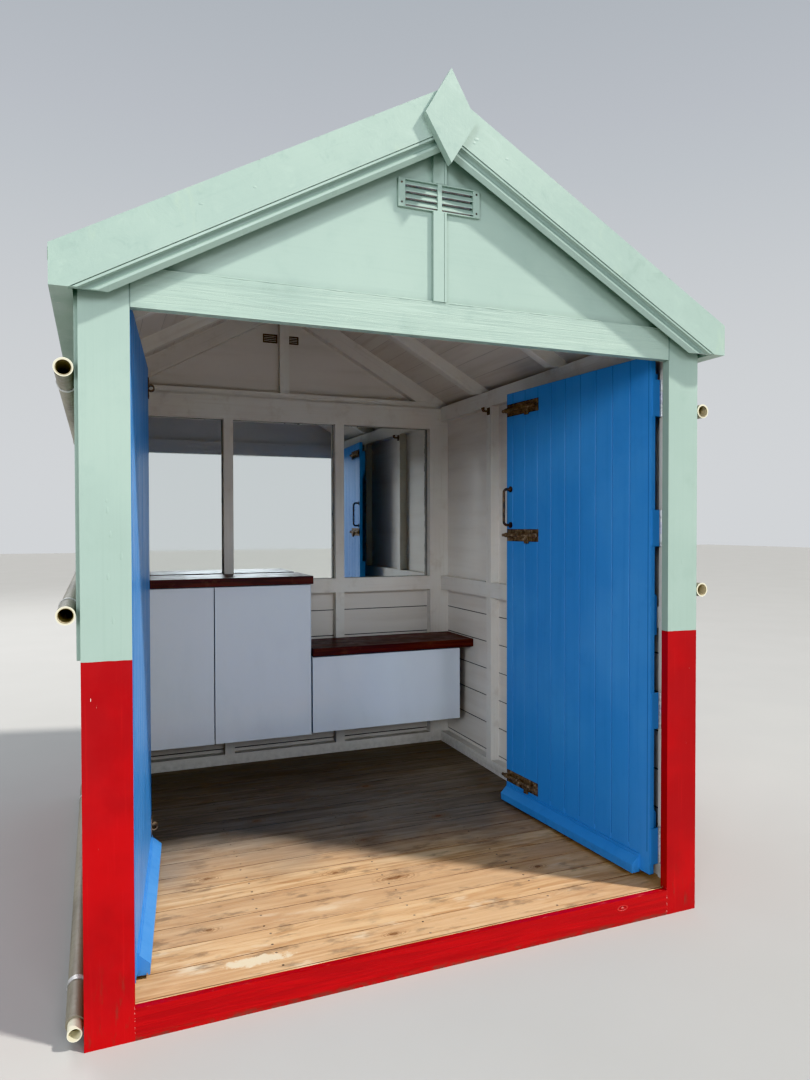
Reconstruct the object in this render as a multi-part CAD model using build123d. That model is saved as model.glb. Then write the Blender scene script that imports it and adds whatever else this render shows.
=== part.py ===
from build123d import *
from math import cos, radians, sin, tan
import os

os.makedirs("parts", exist_ok=True)

# Beach hut of softwood boards and painted panels, with double doors that open inward.
# Sizes are in millimetres. X runs to the right seen from the front, Y into the hut and Z up.
# Z is 0 on the ground. Y is 0 on the front face of the front posts while the pieces are made.

# Shell
hut_width = 2000
shell_depth = 2092
post_width = 125
post_thick = 31
wall_inset = 22
board_thick = 20
board_pitch = 145
board_scoop_height = 12
board_scoop_depth = 7
board_joint_gap = 3
boards_bottom = 12
panel_thick = 32
panel_bottom = 1010

# Front opening and gable
header_bottom = 1928
header_height = 106
sill_height = 86
sill_thick = 20
gable_setback = 8
gable_thick = 12
batten_width = 44
batten_thick = 12
batten_groove_width = 2
batten_groove_depth = 2
batten_groove_inset = 9
gable_fittings_offset = 8

# Louvred vent in the front gable
vent_width = 268
vent_height = 84
vent_under_ridge = 295
vent_thick = 10
vent_border = 3
vent_side_border = 22
vent_mullion = 14
vent_blades = 4
vent_slot = 5
blade_thick = 3
blade_depth = 12
blade_fall = 17
blade_setback = 1

# Roof
roof_pitch = 29.2
deck_seat_rise = 20
eave_overhang = 64
verge_overhang = 60
deck_thick = 12
covering_thick = 3
drip_edge_thick = 2
drip_edge_height = 30
ridge_cap_thick = 2
ridge_cap_reach = 90
ridge_board_thick = 22
ridge_board_height = 83
rafter_width = 50
rafter_depth = 60
rafter_places = (785, 1525)
back_rafter_depth = 91

# Verge and eaves trim
barge_width = 111
barge_thick = 22
barge_proud = 3
barge_foot_cut = 25
moulding_setback = 2
moulding_gap_height = 2
moulding_gap_depth = 4
moulding_fillet_height = 6
moulding_foot_lift = 2
moulding_return_depth = 10
moulding_return_height = 12
cove_lip = 2
cove_setback = 7
cove_hollow = 8
cove_height = 17
finial_half_width = 82
finial_rise = 44
finial_upper_height = 140
finial_lower_height = 133
finial_thick = 25
fascia_thick = 20
soffit_thick = 10

# Floor
floor_top = 84
floor_thick = 20
floor_board_pitch = 120
floor_groove = 4
bearer_width = 48
bearer_count = 5
bearer_side_gap = 14

# Wall frame
frame_thick = 48
bottom_plate_height = 56
mid_rail_drop = 24
mid_rail_height = 78
wall_plate_rise = 22
wall_plate_height = 80
stud_width = 48
stud_places = (714, 1414)
hinge_stud_thick = 57
hinge_stud_width = 70
corner_post_width = 117
top_rail_rise = 2
top_rail_height = 120
gable_tie_height = 36
gable_tie_thick = 36
upright_width = 50
upright_place = 308
gable_stud_width = 52

# Mirrors and back vents, each vent by its left, its right, its drop under the ridge and its height
mirror_thick = 6
mirror_edge_gap = 1
back_vent_thick = 2
back_vent_slots = 4
back_vent_slot_height = 4
back_vent_border = 6
back_vent_left = (-111, -33, 232, 46)
back_vent_right = (30, 86, 234, 43)

# Cupboard, worktop and bench on the back wall
sheet_thick = 18
cupboard_side_gap = 12
cupboard_right = 57
cupboard_bottom = 288
worktop_thick = 40
worktop_depth = 333
worktop_wall_gap = 3
worktop_end_lap = 7
front_setback = 15
cupboard_door_gap = 5
cupboard_door_top_gap = 5
cupboard_door_bottom_gap = 2
cupboard_front_gap = 6
cupboard_edge_radius = 7
pivot_radius = 3
pivot_clearance = 0.3
pivot_depth = 16
pivot_end_gap = 1
pivot_plate_thick = 3
pivot_plate_setback = 2
pivot_inset = 9
pivot_tail = 30
bench_cupboard_gap = 6
bench_side_gap = 30
bench_bottom = 295
bench_front_gap = 7
bench_top = 690
seat_thick = 41

# Doors
door_open_right = 85.4
door_open_left = 83.8
door_face_gap = 6
door_floor_gap = 22
door_header_lap = 34
door_board_thick = 20
ledge_thick = 22
ledge_width = 140
ledge_inset = 12
ledge_foot_rise = 144
ledge_head_drop = 132
brace_width = 90
door_meeting_gap = 4
door_joint_first = 112
door_joint_pitch = 94
door_joint_width = 6
door_joint_depth = 4
weatherboard_post_gap = 15
weatherboard_free_gap = 6
weatherboard_bottom = 98
weatherboard_height = 66
weatherboard_nose_height = 30
weatherboard_depth = 37
weatherboard_undercut = 2
weatherboard_top_depth = 5
weatherboard_top_height = 10
weatherboard_quirk = 3
drip_groove_setback = 8
drip_groove_width = 4
drip_groove_depth = 5

# Hinges
hinge_height = 130
hinge_rises = (99, 588)
hinge_drops = (613, 150)
knuckle_radius = 5.8
knuckle_wall_gap = 0.2
knuckle_joint_gap = 0.5
hinge_pin_radius = 3
hinge_pin_clearance = 0.3
hinge_leaf_thick = 2.5
hinge_leaf_width = 38
hinge_leaf_setback = 2
door_edge_gap = 6
door_pin_gap = 3

# Pad bolts, their keeps and the pull handle, each set from the free edge of the door
bolt_foot_rise = 99
bolt_middle_drop = 646
bolt_head_drop = 77
bolt_plate_inset = 6
bolt_plate_length = 235
bolt_plate_height = 55
bolt_plate_thick = 3
bolt_rod_radius = 7
bolt_rod_clearance = 0.5
bolt_rod_stand = 1
bolt_rod_tail = 239
bolt_rod_throw = 17
strap_insets = (16, 111, 221)
strap_width = 20
strap_wall = 3
lug_inset = 166
lug_width = 24
lug_thick = 8
lug_drop = 36
lug_hole_radius = 5
keep_width = 26
keep_height = 78
keep_outer_radius = 13
keep_bore_radius = 9
handle_inset = 31
handle_drop = 600
handle_height = 163
handle_reach = 38
handle_radius = 6
handle_bend = 16
handle_foot_radius = 14
handle_foot_thick = 3

# Coat hook
hook_drop = 24
hook_plate_height = 36
hook_plate_width = 26
hook_plate_thick = 3
hook_spread = 8
hook_reach = 30
hook_rise = 14
hook_bend = 8
hook_radius = 3
hook_ball_radius = 5

# Storage tubes along the outside of the side walls
tube_radius = 24
tube_wall = 5.5
tube_gap = 0.5
tube_front = 10
tube_end_gap = 17
lower_tube_rise = 120
upper_tube_drop = 184
ground_tube_front = 55
ground_tube_end_gap = 42
ground_tube_z = 47
collar_length = 45
collar_wall = 3
clip_wall = 2.5
clip_clearance = 0.3
clip_width = 20
clip_foot = 40
clip_web_gap = 10
clip_end_distance = 240

# Places worked out from the sizes above
half_width = hut_width / 2
slope = tan(radians(roof_pitch))
slope_cos = cos(radians(roof_pitch))
eave_x = half_width + eave_overhang
post_inner_x = half_width - post_width
skin_x = half_width - wall_inset
boards_outer_x = skin_x + board_thick
panel_outer_x = skin_x + panel_thick
frame_x = skin_x - frame_thick
back_y = shell_depth - post_thick
back_frame_y = back_y - frame_thick
header_top = header_bottom + header_height
mid_rail_bottom = panel_bottom - mid_rail_drop
mid_rail_top = mid_rail_bottom + mid_rail_height
wall_plate_top = header_top + wall_plate_rise
wall_plate_bottom = wall_plate_top - wall_plate_height
bottom_plate_top = floor_top + bottom_plate_height
top_rail_bottom = header_bottom + top_rail_rise
top_rail_top = top_rail_bottom + top_rail_height
gable_tie_top = top_rail_top + gable_tie_height
deck_front = barge_thick - verge_overhang
deck_back = shell_depth - deck_front
roof_build_up = covering_thick + deck_thick
ridge_top = wall_plate_top + deck_seat_rise + slope * skin_x + roof_build_up / slope_cos
middle_y = (shell_depth - finial_thick) / 2


def below_roof(x, depth):
    """Height of the sloping plane that lies depth under the covering, square to the slope."""
    return ridge_top - slope * abs(x) - depth / slope_cos


def reach_at(z, depth):
    """Distance from the ridge line at which that sloping plane comes down to z."""
    return (below_roof(0, depth) - z) / slope


eave_bottom = below_roof(eave_x, barge_width - barge_proud) + barge_foot_cut


def box(x0, x1, y0, y1, z0, z1):
    """A block between two corners."""
    low_corner = (Align.MIN, Align.MIN, Align.MIN)
    return Pos(x0, y0, z0) * Box(x1 - x0, y1 - y0, z1 - z0, align=low_corner)


def along_y(outline, y0, y1):
    """An outline of (x, z) points, extruded from y0 to y1."""
    wire = Wire.make_polygon([(x, y0, z) for x, z in outline], close=True)
    return extrude(Face(wire), amount=y1 - y0, dir=(0, 1, 0))


def along_x(outline, x0, x1):
    """An outline of (y, z) points, extruded from x0 to x1."""
    wire = Wire.make_polygon([(x0, y, z) for y, z in outline], close=True)
    return extrude(Face(wire), amount=x1 - x0, dir=(1, 0, 0))


def along_z(outline, z0, z1):
    """An outline of (x, y) points, extruded from z0 to z1."""
    wire = Wire.make_polygon([(x, y, z0) for x, y in outline], close=True)
    return extrude(Face(wire), amount=z1 - z0, dir=(0, 0, 1))


def rod_x(x0, x1, y, z, radius):
    """A round bar along X."""
    return Pos((x0 + x1) / 2, y, z) * Rot(0, 90, 0) * Cylinder(radius, x1 - x0)


def rod_y(x, y0, y1, z, radius):
    """A round bar along Y."""
    return Pos(x, (y0 + y1) / 2, z) * Rot(90, 0, 0) * Cylinder(radius, y1 - y0)


def rod_z(x, y, z0, z1, radius):
    """A round bar along Z."""
    return Pos(x, y, (z0 + z1) / 2) * Cylinder(radius, z1 - z0)


def other_side(solid):
    """The same piece on the left."""
    return solid.mirror(Plane.YZ)


def other_end(solid):
    """The same piece on the back gable."""
    return solid.mirror(Plane(origin=(0, shell_depth / 2, 0), z_dir=(0, 1, 0)))


def under_deck(solid):
    """Cuts off what stands above the underside of the roof deck."""
    top = below_roof(0, roof_build_up)
    edge = below_roof(eave_x, roof_build_up)
    space = along_y([(-eave_x, 0), (eave_x, 0), (eave_x, edge), (0, top), (-eave_x, edge)],
                    -verge_overhang, shell_depth + verge_overhang)
    return solid & space


def save(name, *pieces):
    """Writes one node, with Y 0 moved to the middle of the footprint."""
    solids = [solid for piece in pieces for solid in piece.solids()]
    whole = solids[0] if len(solids) == 1 else Compound(solids)
    export_step(Pos(0, -middle_y, 0) * whole, f"parts/{name}.step")


# Posts, header and sill
post = under_deck(box(post_inner_x, half_width, 0, post_thick, 0, ridge_top))
save("front_posts", post, other_side(post))
save("back_posts", other_end(post), other_side(other_end(post)))
save("header", box(-post_inner_x, post_inner_x, 0, post_thick, header_bottom, header_top))
save("sill", box(-post_inner_x, post_inner_x, 0, sill_thick, 0, sill_height))


# Roof
def roof_deck():
    """The boarded deck on the right slope."""
    top, bottom = covering_thick, roof_build_up
    outline = [(0, below_roof(0, top)), (eave_x, below_roof(eave_x, top)),
               (eave_x, below_roof(eave_x, bottom)), (0, below_roof(0, bottom))]
    return along_y(outline, deck_front, deck_back)


def roof_covering():
    """The covering on the right slope, with its turned-down drip edge."""
    edge_x = eave_x + drip_edge_thick
    edge_foot = below_roof(edge_x, 0) - drip_edge_height
    outline = [(0, ridge_top), (edge_x, below_roof(edge_x, 0)), (edge_x, edge_foot), (eave_x, edge_foot),
               (eave_x, below_roof(eave_x, covering_thick)), (0, below_roof(0, covering_thick))]
    return along_y(outline, deck_front, deck_back)


def ridge_cap():
    """A folded strip over the ridge."""
    edge = ridge_cap_reach
    top = -ridge_cap_thick
    outline = [(-edge, below_roof(edge, 0)), (-edge, below_roof(edge, top)), (0, below_roof(0, top)),
               (edge, below_roof(edge, top)), (edge, below_roof(edge, 0)), (0, ridge_top)]
    return along_y(outline, deck_front, deck_back)


def rafter(depth, seat_z, y0, y1):
    """The right half of a rafter pair, cut plumb at the ridge board and level on its seat."""
    ridge_x = ridge_board_thick / 2
    low = roof_build_up + depth
    band = [(ridge_x, below_roof(ridge_x, roof_build_up)), (skin_x, below_roof(skin_x, roof_build_up)),
            (skin_x, below_roof(skin_x, low)), (ridge_x, below_roof(ridge_x, low))]
    return along_y(band, y0, y1) & box(ridge_x, skin_x, y0, y1, seat_z, ridge_top)


save("roof_left", other_side(roof_deck()))
save("roof_right", roof_deck())
save("covering_left", other_side(roof_covering()))
save("covering_right", roof_covering())
save("ridge_cap", ridge_cap())
ridge_board_top = below_roof(0, roof_build_up)
save("ridge_board", under_deck(box(-ridge_board_thick / 2, ridge_board_thick / 2,
                                   gable_setback + gable_thick, back_y,
                                   ridge_board_top - ridge_board_height, ridge_board_top)))
rafters = [rafter(rafter_depth, wall_plate_top, place - rafter_width / 2, place + rafter_width / 2)
           for place in rafter_places]
rafters.append(rafter(back_rafter_depth, gable_tie_top, back_frame_y, back_y))
save("rafters", *rafters, *[other_side(half) for half in rafters])


# Bargeboards, verge mouldings, finial and eaves
barge_low = barge_width - barge_proud
fillet_top = barge_low + moulding_gap_height
cove_top = fillet_top + moulding_fillet_height
cove_foot = cove_top + cove_height
nose_foot = cove_foot + moulding_fillet_height
moulding_low = nose_foot + moulding_return_height
moulding_front = moulding_setback - verge_overhang
gap_y = moulding_front + moulding_gap_depth
cove_front = moulding_front + cove_lip
cove_back = cove_front + cove_setback
return_y = cove_back + moulding_return_depth


def bargeboard():
    """The right front bargeboard, cut plumb at the eave and level under its foot."""
    outline = [(0, below_roof(0, -barge_proud)), (eave_x, below_roof(eave_x, -barge_proud)),
               (eave_x, eave_bottom), (reach_at(eave_bottom, barge_low), eave_bottom),
               (0, below_roof(0, barge_low))]
    return along_y(outline, -verge_overhang, deck_front)


def verge_moulding():
    """The cove moulding under the right front bargeboard."""
    outline = [(gap_y, barge_low), (gap_y, fillet_top), (moulding_front, fillet_top),
               (moulding_front, cove_top), (cove_front, cove_top)]
    inside = [(cove_back, cove_foot), (cove_back, nose_foot), (return_y, moulding_low),
              (deck_front, moulding_low), (deck_front, barge_low), (gap_y, barge_low)]
    bend = ((cove_front + cove_back) / 2 + cove_hollow, (cove_top + cove_foot) / 2)
    before, after = ([at_ridge(*point) for point in points] for points in (outline, inside))
    cove = ThreePointArc(before[-1], at_ridge(*bend), after[0])
    section = Face(Wire(Polyline(*before).edges() + [cove.edge()] + Polyline(*after).edges()))
    moulding = extrude(section, amount=eave_x / slope_cos, dir=(1, 0, -slope))
    return moulding & box(0, eave_x, -verge_overhang, 0, eave_bottom + moulding_foot_lift, ridge_top)


def at_ridge(y, depth):
    """A point on the plumb cut at the ridge, so far below the covering."""
    return 0, y, below_roof(0, depth)


def finial():
    """The plain diamond board over the front apex."""
    middle = gable_fittings_offset
    top = below_roof(0, -barge_proud) + finial_rise
    shoulder = top - finial_upper_height
    outline = [(middle, top), (middle + finial_half_width, shoulder),
               (middle, shoulder - finial_lower_height), (middle - finial_half_width, shoulder)]
    return along_y(outline, -verge_overhang - finial_thick, -verge_overhang)


def eave():
    """The right fascia with the narrow soffit behind it."""
    fascia = under_deck(box(eave_x - fascia_thick, eave_x, deck_front, deck_back, eave_bottom, ridge_top))
    return fascia + box(panel_outer_x, eave_x - fascia_thick, deck_front, deck_back,
                        eave_bottom, eave_bottom + soffit_thick)


save("bargeboard_right", bargeboard(), other_end(bargeboard()))
save("bargeboard_left", other_side(bargeboard()), other_side(other_end(bargeboard())))
save("verge_moulding_right", verge_moulding(), other_end(verge_moulding()))
save("verge_moulding_left", other_side(verge_moulding()), other_side(other_end(verge_moulding())))
save("finial", finial())
save("eaves", eave(), other_side(eave()))


# Front gable with its batten and louvred vent
vent_left = gable_fittings_offset - vent_width / 2
vent_right = vent_left + vent_width
vent_middle_z = ridge_top - vent_under_ridge
vent_low = vent_middle_z - vent_height / 2
vent_high = vent_low + vent_height
light_left, light_right = vent_left + vent_side_border, vent_right - vent_side_border


def gable_vent():
    """A frame of two lights, each with a stack of blades that slope outward and down."""
    front = gable_setback - vent_thick
    light_width = (light_right - light_left - vent_mullion) / 2
    pitch = (vent_height - 2 * vent_border) / vent_blades
    vent = box(vent_left, vent_right, front, gable_setback, vent_low, vent_high)
    for start in (light_left, light_right - light_width):
        vent -= box(start, start + light_width, front, gable_setback,
                    vent_low + vent_border, vent_high - vent_border)
    blade_front = front + blade_setback
    opening = box(light_left, light_right, blade_front, blade_front + blade_depth,
                  vent_low + vent_border, vent_high - vent_border)
    for row in range(vent_blades):
        foot = vent_low + vent_border + vent_slot + pitch * row
        blade = [(blade_front, foot), (blade_front + blade_depth, foot + blade_fall),
                 (blade_front + blade_depth, foot + blade_fall + blade_thick),
                 (blade_front, foot + blade_thick)]
        vent += along_x(blade, light_left, light_right) & opening
    return vent


def gable_front():
    """The front gable panel, open behind the vent's two lights."""
    panel = box(-post_inner_x, post_inner_x, gable_setback, gable_setback + gable_thick,
                header_top, ridge_top)
    return under_deck(panel) - box(light_left, light_right, gable_setback, gable_setback + gable_thick,
                                   vent_low + vent_border, vent_high - vent_border)


def gable_battens():
    """The grooved cover batten below and above the vent."""
    left = gable_fittings_offset - batten_width / 2
    right = left + batten_width
    front = gable_setback - batten_thick
    lower = box(left, right, front, gable_setback, header_top, vent_low)
    outline = [(left, vent_high), (right, vent_high), (right, below_roof(right, roof_build_up)),
               (0, below_roof(0, roof_build_up)), (left, below_roof(left, roof_build_up))]
    groove_x = right - batten_groove_inset
    groove = box(groove_x, groove_x + batten_groove_width, front, front + batten_groove_depth,
                 header_top, ridge_top)
    return lower - groove, along_y(outline, front, gable_setback) - groove


save("gable_front", gable_front())
save("gable_batten", *gable_battens())
save("gable_vent", gable_vent())


# Wall skins
def shiplap(inner, outer, z0, z1):
    """Section of a wall of shiplap boards, as points across and up the wall."""
    joint_count = int((z1 - z0 - board_joint_gap) / board_pitch)
    joints = [z0 + board_pitch * count for count in range(1, joint_count + 1)]
    scoop = inner + (outer - inner) * (1 - board_scoop_depth / board_thick)
    groove = inner + (outer - inner) * board_joint_gap / board_thick
    outline = [(inner, z0), (outer, z0)]
    for joint in joints:
        outline += [(outer, joint - board_scoop_height), (scoop, joint), (outer, joint)]
    outline += [(outer, z1), (inner, z1)]
    for joint in reversed(joints):
        outline += [(inner, joint + board_joint_gap), (groove, joint + board_joint_gap),
                    (groove, joint), (inner, joint)]
    return outline


upper_panel = under_deck(box(skin_x, panel_outer_x, post_thick, back_y, panel_bottom, ridge_top))
lower_boards = along_y(shiplap(skin_x, boards_outer_x, boards_bottom, panel_bottom), post_thick, back_y)
back_boards_outer = back_y + board_thick
back_panel_outer = shell_depth - gable_setback
save("upper_panel_right", upper_panel)
save("upper_panel_left", other_side(upper_panel))
save("upper_panel_back", under_deck(box(-post_inner_x, post_inner_x, back_y, back_panel_outer,
                                        panel_bottom, ridge_top)))
save("lower_boards_right", lower_boards)
save("lower_boards_left", other_side(lower_boards))
save("lower_boards_back", along_x(shiplap(back_y, back_boards_outer, boards_bottom, panel_bottom),
                                  -post_inner_x, post_inner_x))


# Floor
def floor_boards():
    """Boards laid across the hut, grooved at each joint, with the front one notched round the posts."""
    low = floor_top - floor_thick
    outline = [(post_thick, low), (post_thick, floor_top)]
    for count in range(1, int((back_y - post_thick - floor_groove) / floor_board_pitch) + 1):
        joint = post_thick + floor_board_pitch * count
        outline += [(joint - floor_groove / 2, floor_top), (joint, floor_top - floor_groove),
                    (joint + floor_groove / 2, floor_top)]
    outline += [(back_y, floor_top), (back_y, low)]
    return along_x(outline, -skin_x, skin_x) + box(-post_inner_x, post_inner_x, sill_thick, post_thick,
                                                   low, floor_top)


def bearers():
    """Joists along the hut, spread evenly between the walls."""
    outermost = skin_x - bearer_side_gap - bearer_width / 2
    step = 2 * outermost / (bearer_count - 1)
    places = [step * count - outermost for count in range(bearer_count)]
    return [box(x - bearer_width / 2, x + bearer_width / 2, post_thick, back_y, 0, floor_top - floor_thick)
            for x in places]


save("floor_boards", floor_boards())
save("floor_bearers", *bearers())

# Side wall frame
rail_front = post_thick + hinge_stud_width
side_rails = [box(frame_x, skin_x, post_thick, back_frame_y, wall_plate_bottom, wall_plate_top),
              box(frame_x, skin_x, rail_front, back_frame_y, mid_rail_bottom, mid_rail_top),
              box(frame_x, skin_x, rail_front, back_frame_y, floor_top, bottom_plate_top)]
hinge_face_x = skin_x - hinge_stud_thick
side_studs = [box(hinge_face_x, skin_x, post_thick, rail_front, floor_top, wall_plate_bottom)]
for place in stud_places:
    stud_front, stud_back = place - stud_width / 2, place + stud_width / 2
    side_studs.append(box(frame_x, skin_x, stud_front, stud_back, bottom_plate_top, mid_rail_bottom))
    side_studs.append(box(frame_x, skin_x, stud_front, stud_back, mid_rail_top, wall_plate_bottom))
save("side_rails", *side_rails, *[other_side(rail) for rail in side_rails])
save("side_studs", *side_studs, *[other_side(stud) for stud in side_studs])

# Back wall frame
corner_x = skin_x - corner_post_width
back_rails = [under_deck(box(-skin_x, skin_x, back_frame_y, back_y, top_rail_bottom, top_rail_top)),
              box(-corner_x, corner_x, back_frame_y, back_y, mid_rail_bottom, mid_rail_top),
              box(-corner_x, corner_x, back_frame_y, back_y, floor_top, bottom_plate_top),
              under_deck(box(-skin_x, skin_x, back_y - gable_tie_thick, back_y, top_rail_top, gable_tie_top))]
corner_post = box(corner_x, skin_x, back_frame_y, back_y, floor_top, top_rail_bottom)
upright_in, upright_out = upright_place - upright_width / 2, upright_place + upright_width / 2
upright_low = box(upright_in, upright_out, back_frame_y, back_y, bottom_plate_top, mid_rail_bottom)
upright_high = box(upright_in, upright_out, back_frame_y, back_y, mid_rail_top, top_rail_bottom)
stud_half = gable_stud_width / 2
rafter_under = roof_build_up + back_rafter_depth
gable_stud = along_y([(-stud_half, gable_tie_top), (stud_half, gable_tie_top),
                      (stud_half, below_roof(stud_half, rafter_under)), (0, below_roof(0, rafter_under)),
                      (-stud_half, below_roof(stud_half, rafter_under))], back_y - gable_tie_thick, back_y)
save("back_rails", *back_rails)
uprights = [corner_post, upright_low, upright_high]
save("back_uprights", *uprights, *[other_side(upright) for upright in uprights], gable_stud)


# Mirrors and back vents
def mirror_pane(x0, x1):
    """A mirror laid on the lining between two uprights, standing on the middle rail."""
    return box(x0 + mirror_edge_gap, x1 - mirror_edge_gap, back_y - mirror_thick, back_y,
               mid_rail_top, top_rail_bottom - mirror_edge_gap)


def back_vent(x0, x1, drop, height):
    """A pressed vent plate with level slots."""
    z0 = ridge_top - drop - height
    plate = box(x0, x1, back_y - back_vent_thick, back_y, z0, z0 + height)
    pitch = height / (back_vent_slots + 1)
    for count in range(1, back_vent_slots + 1):
        low = z0 + pitch * count - back_vent_slot_height / 2
        plate -= box(x0 + back_vent_border, x1 - back_vent_border, back_y - back_vent_thick, back_y,
                     low, low + back_vent_slot_height)
    return plate


save("mirrors", mirror_pane(-corner_x, -upright_out), mirror_pane(-upright_in, upright_in),
     mirror_pane(upright_out, corner_x))
save("back_vents", back_vent(*back_vent_left), back_vent(*back_vent_right))

# Cupboard, worktop and bench
cupboard_left = cupboard_side_gap - frame_x
bench_left = cupboard_right + bench_cupboard_gap
bench_right = frame_x - bench_side_gap
worktop_end = skin_x - worktop_wall_gap
worktop_bottom = mid_rail_top
worktop_front = back_frame_y - worktop_depth
cupboard_front = worktop_front + front_setback
carcass_front = cupboard_front + sheet_thick + cupboard_front_gap
cupboard_door_top = worktop_bottom - cupboard_door_top_gap
cupboard_door_bottom = cupboard_bottom + cupboard_door_bottom_gap
pivot_y = cupboard_front + sheet_thick / 2


def cupboard():
    """An open-fronted carcass under the worktop."""
    carcass = box(cupboard_left, cupboard_right, carcass_front, back_frame_y, cupboard_bottom, worktop_bottom)
    return carcass - box(cupboard_left + sheet_thick, cupboard_right - sheet_thick,
                         carcass_front, back_frame_y - sheet_thick,
                         cupboard_bottom + sheet_thick, worktop_bottom - sheet_thick)


def cupboard_door(x0, x1, pivot_x, hinge_edge):
    """A flat door with a rounded hinge edge and a socket above and below for its pivots."""
    door = box(x0, x1, cupboard_front, cupboard_front + sheet_thick, cupboard_door_bottom, cupboard_door_top)
    edges = door.edges().filter_by(Axis.Z).sort_by(Axis.X)
    door = fillet(edges[:2] if hinge_edge == "left" else edges[-2:], cupboard_edge_radius)
    hole_radius = pivot_radius + pivot_clearance
    for z0, z1 in ((cupboard_door_bottom, cupboard_door_bottom + pivot_depth),
                   (cupboard_door_top - pivot_depth, cupboard_door_top)):
        door -= rod_z(pivot_x, pivot_y, z0, z1, hole_radius)
    return door


def cupboard_pivot(x0, x1, pivot_x):
    """The upper and lower pivot plates of one door, each with its pin."""
    pin_end = pivot_depth - pivot_end_gap
    plate_front = cupboard_front + pivot_plate_setback
    upper = box(x0, x1, plate_front, carcass_front, worktop_bottom - pivot_plate_thick, worktop_bottom)
    upper += rod_z(pivot_x, pivot_y, cupboard_door_top - pin_end, worktop_bottom, pivot_radius)
    lower = box(x0, x1, plate_front, carcass_front + pivot_tail,
                cupboard_bottom - pivot_plate_thick, cupboard_bottom)
    lower += rod_z(pivot_x, pivot_y, cupboard_bottom - pivot_plate_thick,
                   cupboard_door_bottom + pin_end, pivot_radius)
    return upper, lower


def bench_box():
    """A locker of sheet, open at the top, with a front panel that stops short of the seat."""
    body_front = cupboard_front + sheet_thick
    body = box(bench_left, bench_right, body_front, back_frame_y, bench_bottom, bench_top)
    body -= box(bench_left + sheet_thick, bench_right - sheet_thick, body_front + sheet_thick,
                back_frame_y - sheet_thick, bench_bottom + sheet_thick, bench_top)
    return body + box(bench_left, bench_right, cupboard_front, body_front,
                      bench_bottom, bench_top - bench_front_gap)


door_split = (cupboard_left + cupboard_right) / 2
left_pivot_x, right_pivot_x = cupboard_left + pivot_inset, cupboard_right - pivot_inset
save("cupboard", cupboard())
save("cupboard_door_left", cupboard_door(cupboard_left, door_split - cupboard_door_gap / 2,
                                         left_pivot_x, "left"))
save("cupboard_door_right", cupboard_door(door_split + cupboard_door_gap / 2, cupboard_right,
                                          right_pivot_x, "right"))
save("cupboard_pivots", *cupboard_pivot(cupboard_left, cupboard_left + sheet_thick, left_pivot_x),
     *cupboard_pivot(cupboard_right - sheet_thick, cupboard_right, right_pivot_x))
save("worktop", box(-worktop_end, cupboard_right + worktop_end_lap, worktop_front, back_frame_y,
                    worktop_bottom, worktop_bottom + worktop_thick))
save("bench_box", bench_box())
save("bench_seat", box(bench_left, worktop_end, worktop_front, back_frame_y,
                       bench_top, bench_top + seat_thick))

# Door leaves, made closed on the right and then hung
door_thick = door_board_thick + ledge_thick
pin_x = hinge_face_x - knuckle_wall_gap - knuckle_radius
door_face_y = post_thick + door_face_gap
door_back_y = door_face_y + door_thick
pin_y = door_back_y + door_pin_gap
door_bottom = floor_top + door_floor_gap
door_top = header_bottom + door_header_lap
door_hinge_x = pin_x - door_edge_gap
door_free_x = door_meeting_gap
board_back_y = door_face_y + door_board_thick
ledge_low, ledge_high = door_bottom + ledge_foot_rise, door_top - ledge_head_drop
ledge_places = (ledge_low, (door_bottom + door_top) / 2, ledge_high)


def hang_right(solid):
    """Swings a piece of the right door from closed to where it stands in the picture."""
    return solid.rotate(Axis((pin_x, pin_y, 0), (0, 0, 1)), -door_open_right)


def hang_left(solid):
    """Makes a piece of the left door from the right-hand one and swings it open."""
    return other_side(solid).rotate(Axis((-pin_x, pin_y, 0), (0, 0, 1)), door_open_left)


def door_leaf():
    """Vertical boards with V joints, on three ledges and two braces."""
    outline = [(door_hinge_x, door_face_y)]
    first_joint = pin_x - door_joint_first
    for count in range(int((first_joint - door_free_x - door_joint_width) / door_joint_pitch) + 1):
        joint = first_joint - door_joint_pitch * count
        outline += [(joint + door_joint_width / 2, door_face_y), (joint, door_face_y + door_joint_depth),
                    (joint - door_joint_width / 2, door_face_y)]
    outline += [(door_free_x, door_face_y), (door_free_x, board_back_y), (door_hinge_x, board_back_y)]
    leaf = along_z(outline, door_bottom, door_top)
    ledge_hinge_x, ledge_free_x = door_hinge_x - ledge_inset, door_free_x + ledge_inset
    for place in ledge_places:
        leaf += box(ledge_free_x, ledge_hinge_x, board_back_y, door_back_y,
                    place - ledge_width / 2, place + ledge_width / 2)
    for low, high in zip(ledge_places, ledge_places[1:]):
        foot, head = low + ledge_width / 2, high - ledge_width / 2
        brace = [(ledge_hinge_x, foot), (ledge_hinge_x - brace_width, foot),
                 (ledge_free_x, head), (ledge_free_x + brace_width, head)]
        leaf += along_y(brace, board_back_y, door_back_y)
    return leaf


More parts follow.
